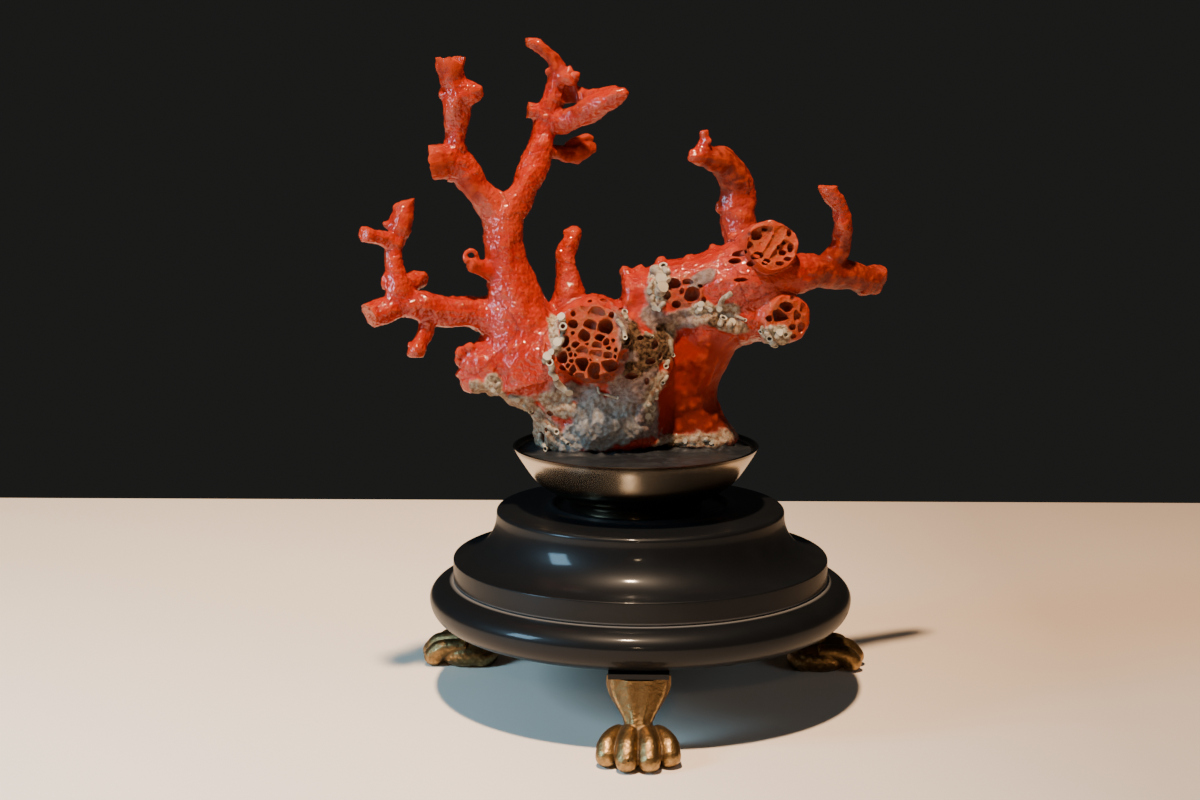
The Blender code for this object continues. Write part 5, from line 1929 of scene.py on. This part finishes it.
@dataclass
class PawFeet:
    """Three cast lion paws, each with a fluted leg and four blunt toes."""

    azimuths: tuple[float, float, float] = (-0.3, -117.3, 114.1)
    height: float = 23.6
    leg_sides: int = 72
    flutes: int = 10
    flute_depth: float = 0.032
    leg: Route = (                # height, distance from the axis, half width and half depth
        (24.6, 60.0, 9.4, 6.6), (21.0, 60.2, 9.7, 7.0), (18.2, 61.2, 8.9, 6.7), (15.0, 63.2, 6.9, 5.8),
        (12.0, 65.4, 4.9, 5.0), (9.6, 67.0, 4.3, 5.2), (6.0, 69.2, 6.6, 7.4),
    )
    toes: tuple[Route, Route] = (  # the inner and the outer toe on the right
        ((2.3, -67, 8.2, 2.7), (2.8, -72.6, 8.0, 3.0), (3.2, -77.6, 6.6, 3.4), (3.4, -80.8, 3.4, 3.5)),
        ((5.6, -65, 7.0, 2.6), (7.6, -69.4, 7.0, 2.9), (9.0, -73.8, 5.8, 3.4), (9.4, -76.4, 3.4, 3.5)),
    )
    voxel: float = 0.32
    rounds: int = 3
    top_triangles: int = 60_000

    def build(self) -> bpy.types.Mesh:
        """Return one paw, in its place at the front."""
        bm = bmesh.new()
        self._add_leg(bm)
        self._add_paw(bm)
        mesh = melted(to_mesh(bm, "paw"), self.voxel, self.rounds)
        for low, high in (((-30, -99, -20), (30, -40, 0.0)), ((-30, -99, self.height), (30, -40, 60.0))):
            mesh = cut_away(mesh, self._block(low, high))
        mesh = thinned(mesh, self.top_triangles)
        places = vertex_places(mesh)
        free = smoothstep(0.0, 0.8, places[:, 2]) * smoothstep(self.height, self.height - 0.8, places[:, 2])
        pitted = (0.10 * cloud(places, 3.0, 2) + 0.05 * cloud(places, 0.9, 2, 5.0)) * free
        move_vertices(mesh, places + vertex_normals(mesh) * pitted[:, None])
        hollow = cavity(mesh, 6)
        write_mask(mesh, "hollow", smoothstep(0.004, 0.030, hollow))
        write_mask(mesh, "proud", smoothstep(0.0, 0.022, -hollow))
        shade_smooth(mesh, 45.0)
        return mesh

    def dress(self, paw: bpy.types.Mesh) -> None:
        """Show the paw three times, turned to each foot's place.

        Args:
            paw: The front paw, which is used up.
        """
        bronze = CastBronze().material()
        for side, azimuth in zip(FootSide, self.azimuths):
            mesh = paw.copy()
            mesh.name = f"{side.value}_paw"
            mesh.transform(Matrix.Rotation(math.radians(azimuth), 4, "Z"))
            add_piece(mesh, bronze, Slot.BRONZE, (side.value + "_foot",))
        bpy.data.meshes.remove(paw)

    def _block(self, low: Point, high: Point) -> bpy.types.Mesh:
        """Return a box between two corners.

        Args:
            low: The lowest corner.
            high: The highest corner.

        Returns:
            The box.
        """
        bm = bmesh.new()
        one, other = Vector(low), Vector(high)
        place = Matrix.Translation((one + other) / 2) @ Matrix.Diagonal((*(other - one), 1.0))
        bmesh.ops.create_cube(bm, size=1.0, matrix=place)
        return to_mesh(bm, "block")

    def _add_leg(self, bm: bmesh.types.BMesh) -> None:
        """Add the fluted leg: rows of height, distance out, half width and half depth."""
        loops = []
        for height, distance, half_width, half_depth in smooth_route(self.leg, 0.8):
            ring = bmesh.ops.create_circle(bm, segments=self.leg_sides, radius=1.0)["verts"]
            for vert in ring:
                angle = math.atan2(vert.co.y, vert.co.x)
                vert.co *= 1.0 + self.flute_depth * math.cos(self.flutes * angle)
            place = Matrix.Translation((0.0, -distance, height))
            bmesh.ops.transform(
                bm, matrix=place @ Matrix.Diagonal((half_width, half_depth, 1.0, 1.0)), verts=ring)
            loops.append(edges_of(ring))
        close_skin(bm, loops, self.leg_sides)
        bmesh.ops.recalc_face_normals(bm, faces=bm.faces)

    def _add_paw(self, bm: bmesh.types.BMesh) -> None:
        """Add the palm, the heel and four blunt toes with their knuckles."""
        add_ellipsoid(bm, (0.0, -68.5, 4.2), (10.4, 10.5, 6.0))
        add_ellipsoid(bm, (0.0, -61.8, 3.0), (6.8, 4.6, 3.9))
        for side in (-1, 1):
            for rows in self.toes:
                sweep(bm, smooth_route([(side * x, y, z, radius) for x, y, z, radius in rows], 0.8), 20)
                x, y, z, radius = rows[-1]
                add_ellipsoid(bm, (side * x, y, z), (radius, radius, radius))


@dataclass(frozen=True)
class Lamp:
    """An area light: where it stands and looks, its width and height, its power and colour."""

    name: str
    place: Point
    target: Point
    size: tuple[float, float]
    power: float
    colour: Colour
    in_gloss: bool = True         # whether polished faces mirror it

    def build(self) -> None:
        """Hang the lamp."""
        light = bpy.data.lights.new(self.name, "AREA")
        light.shape = "RECTANGLE"
        light.size, light.size_y = (side * MM for side in self.size)
        light.energy = self.power
        light.color = self.colour
        lamp = show(self.name, light)
        start, end = TO_ROW @ Vector(self.place), TO_ROW @ Vector(self.target)
        lamp.visible_glossy = self.in_gloss
        lamp.location = start
        lamp.rotation_euler = (end - start).to_track_quat("-Z", "Y").to_euler()


@dataclass
class Studio:
    """The pale table, the dark room, the lamps and the camera."""

    table_back: float = 302.6     # the table's far edge, behind the stand's axis
    table_front: float = -900.0
    table_side: float = 900.0
    table_thickness: float = 20.0
    camera_place: Point = (0.0, -649.6, 205.2)
    camera_tilt: float = 80.70
    camera_pan: float = 1.18
    lens: float = 60.0
    sensor: float = 36.0
    room: Colour = (0.0150, 0.0150, 0.0144)
    lamps: tuple[Lamp, ...] = (
        Lamp("main_lamp", (-76, -328, 1012), (0, 0, 60), (55, 55), 27.0, (1.0, 0.72, 0.48)),
        Lamp("cool_window", (-560, -260, 330), (0, 0, 60), (170, 230), 4.6, (0.38, 0.72, 1.0)),
        Lamp("cool_fill", (620, -420, 260), (60, 0, 0), (300, 300), 0.8, (0.55, 0.78, 1.0), False),
        Lamp("small_warm_lamp", (-20, -760, 330), (0, 0, 80), (30, 25), 0.4, (1.0, 0.70, 0.42)),
    )

    def build(self) -> None:
        """Set up the table, the room, the lamps and the camera."""
        self._table()
        self._room()
        for lamp in self.lamps:
            lamp.build()
        self._camera()

    def _table(self) -> None:
        """Lay the pale table top, with bevelled edges."""
        bm = bmesh.new()
        depth = self.table_back - self.table_front
        middle = Vector((0.0, (self.table_back + self.table_front) / 2, -self.table_thickness / 2))
        size = Matrix.Diagonal((2 * self.table_side, depth, self.table_thickness, 1.0))
        bmesh.ops.create_cube(bm, size=1.0, matrix=Matrix.Translation(middle) @ size)
        bmesh.ops.bevel(
            bm, geom=bm.edges, offset=1.5, segments=3, profile=0.5, affect="EDGES", material=-1)
        mesh = to_mesh(bm, "table_top")
        mesh.transform(TO_ROW)
        mesh.materials.append(TablePaintWithFalloff().material())
        show("table_top", mesh)

    def _room(self) -> None:
        """Leave the room behind the table dark."""
        world = bpy.data.worlds.new("dark_room")
        world.use_nodes = True
        background = world.node_tree.nodes["Background"]
        background.inputs["Color"].default_value = (*self.room, 1.0)
        background.inputs["Strength"].default_value = 1.0
        bpy.context.scene.world = world

    def _camera(self) -> None:
        """Place the camera."""
        data = bpy.data.cameras.new("camera")
        data.lens = self.lens
        data.sensor_width = self.sensor
        data.clip_start, data.clip_end = 0.01, 20.0
        camera = show("camera", data)
        camera.location = TO_ROW @ Vector(self.camera_place)
        camera.rotation_euler = (math.radians(self.camera_tilt), 0.0, math.radians(self.camera_pan))
        bpy.context.scene.camera = camera


def main() -> None:
    """Build and dress every piece, then the studio."""
    noise.seed_set(NOISE_SEED)
    colony = Colony()
    coral = colony.build()
    tubes = WormTubes()
    tube_mesh = tubes.build(coral)
    cup = Cup()
    filling = Filling(cup)
    wax = filling.build(coral)
    colony.dress(coral)
    tubes.dress(tube_mesh)
    cup.dress(cup.build())
    filling.dress(wax)
    stand = Stand()
    stand.dress(stand.build())
    feet = PawFeet()
    feet.dress(feet.build())
    Studio().build()


if __name__ == "__main__":
    main()
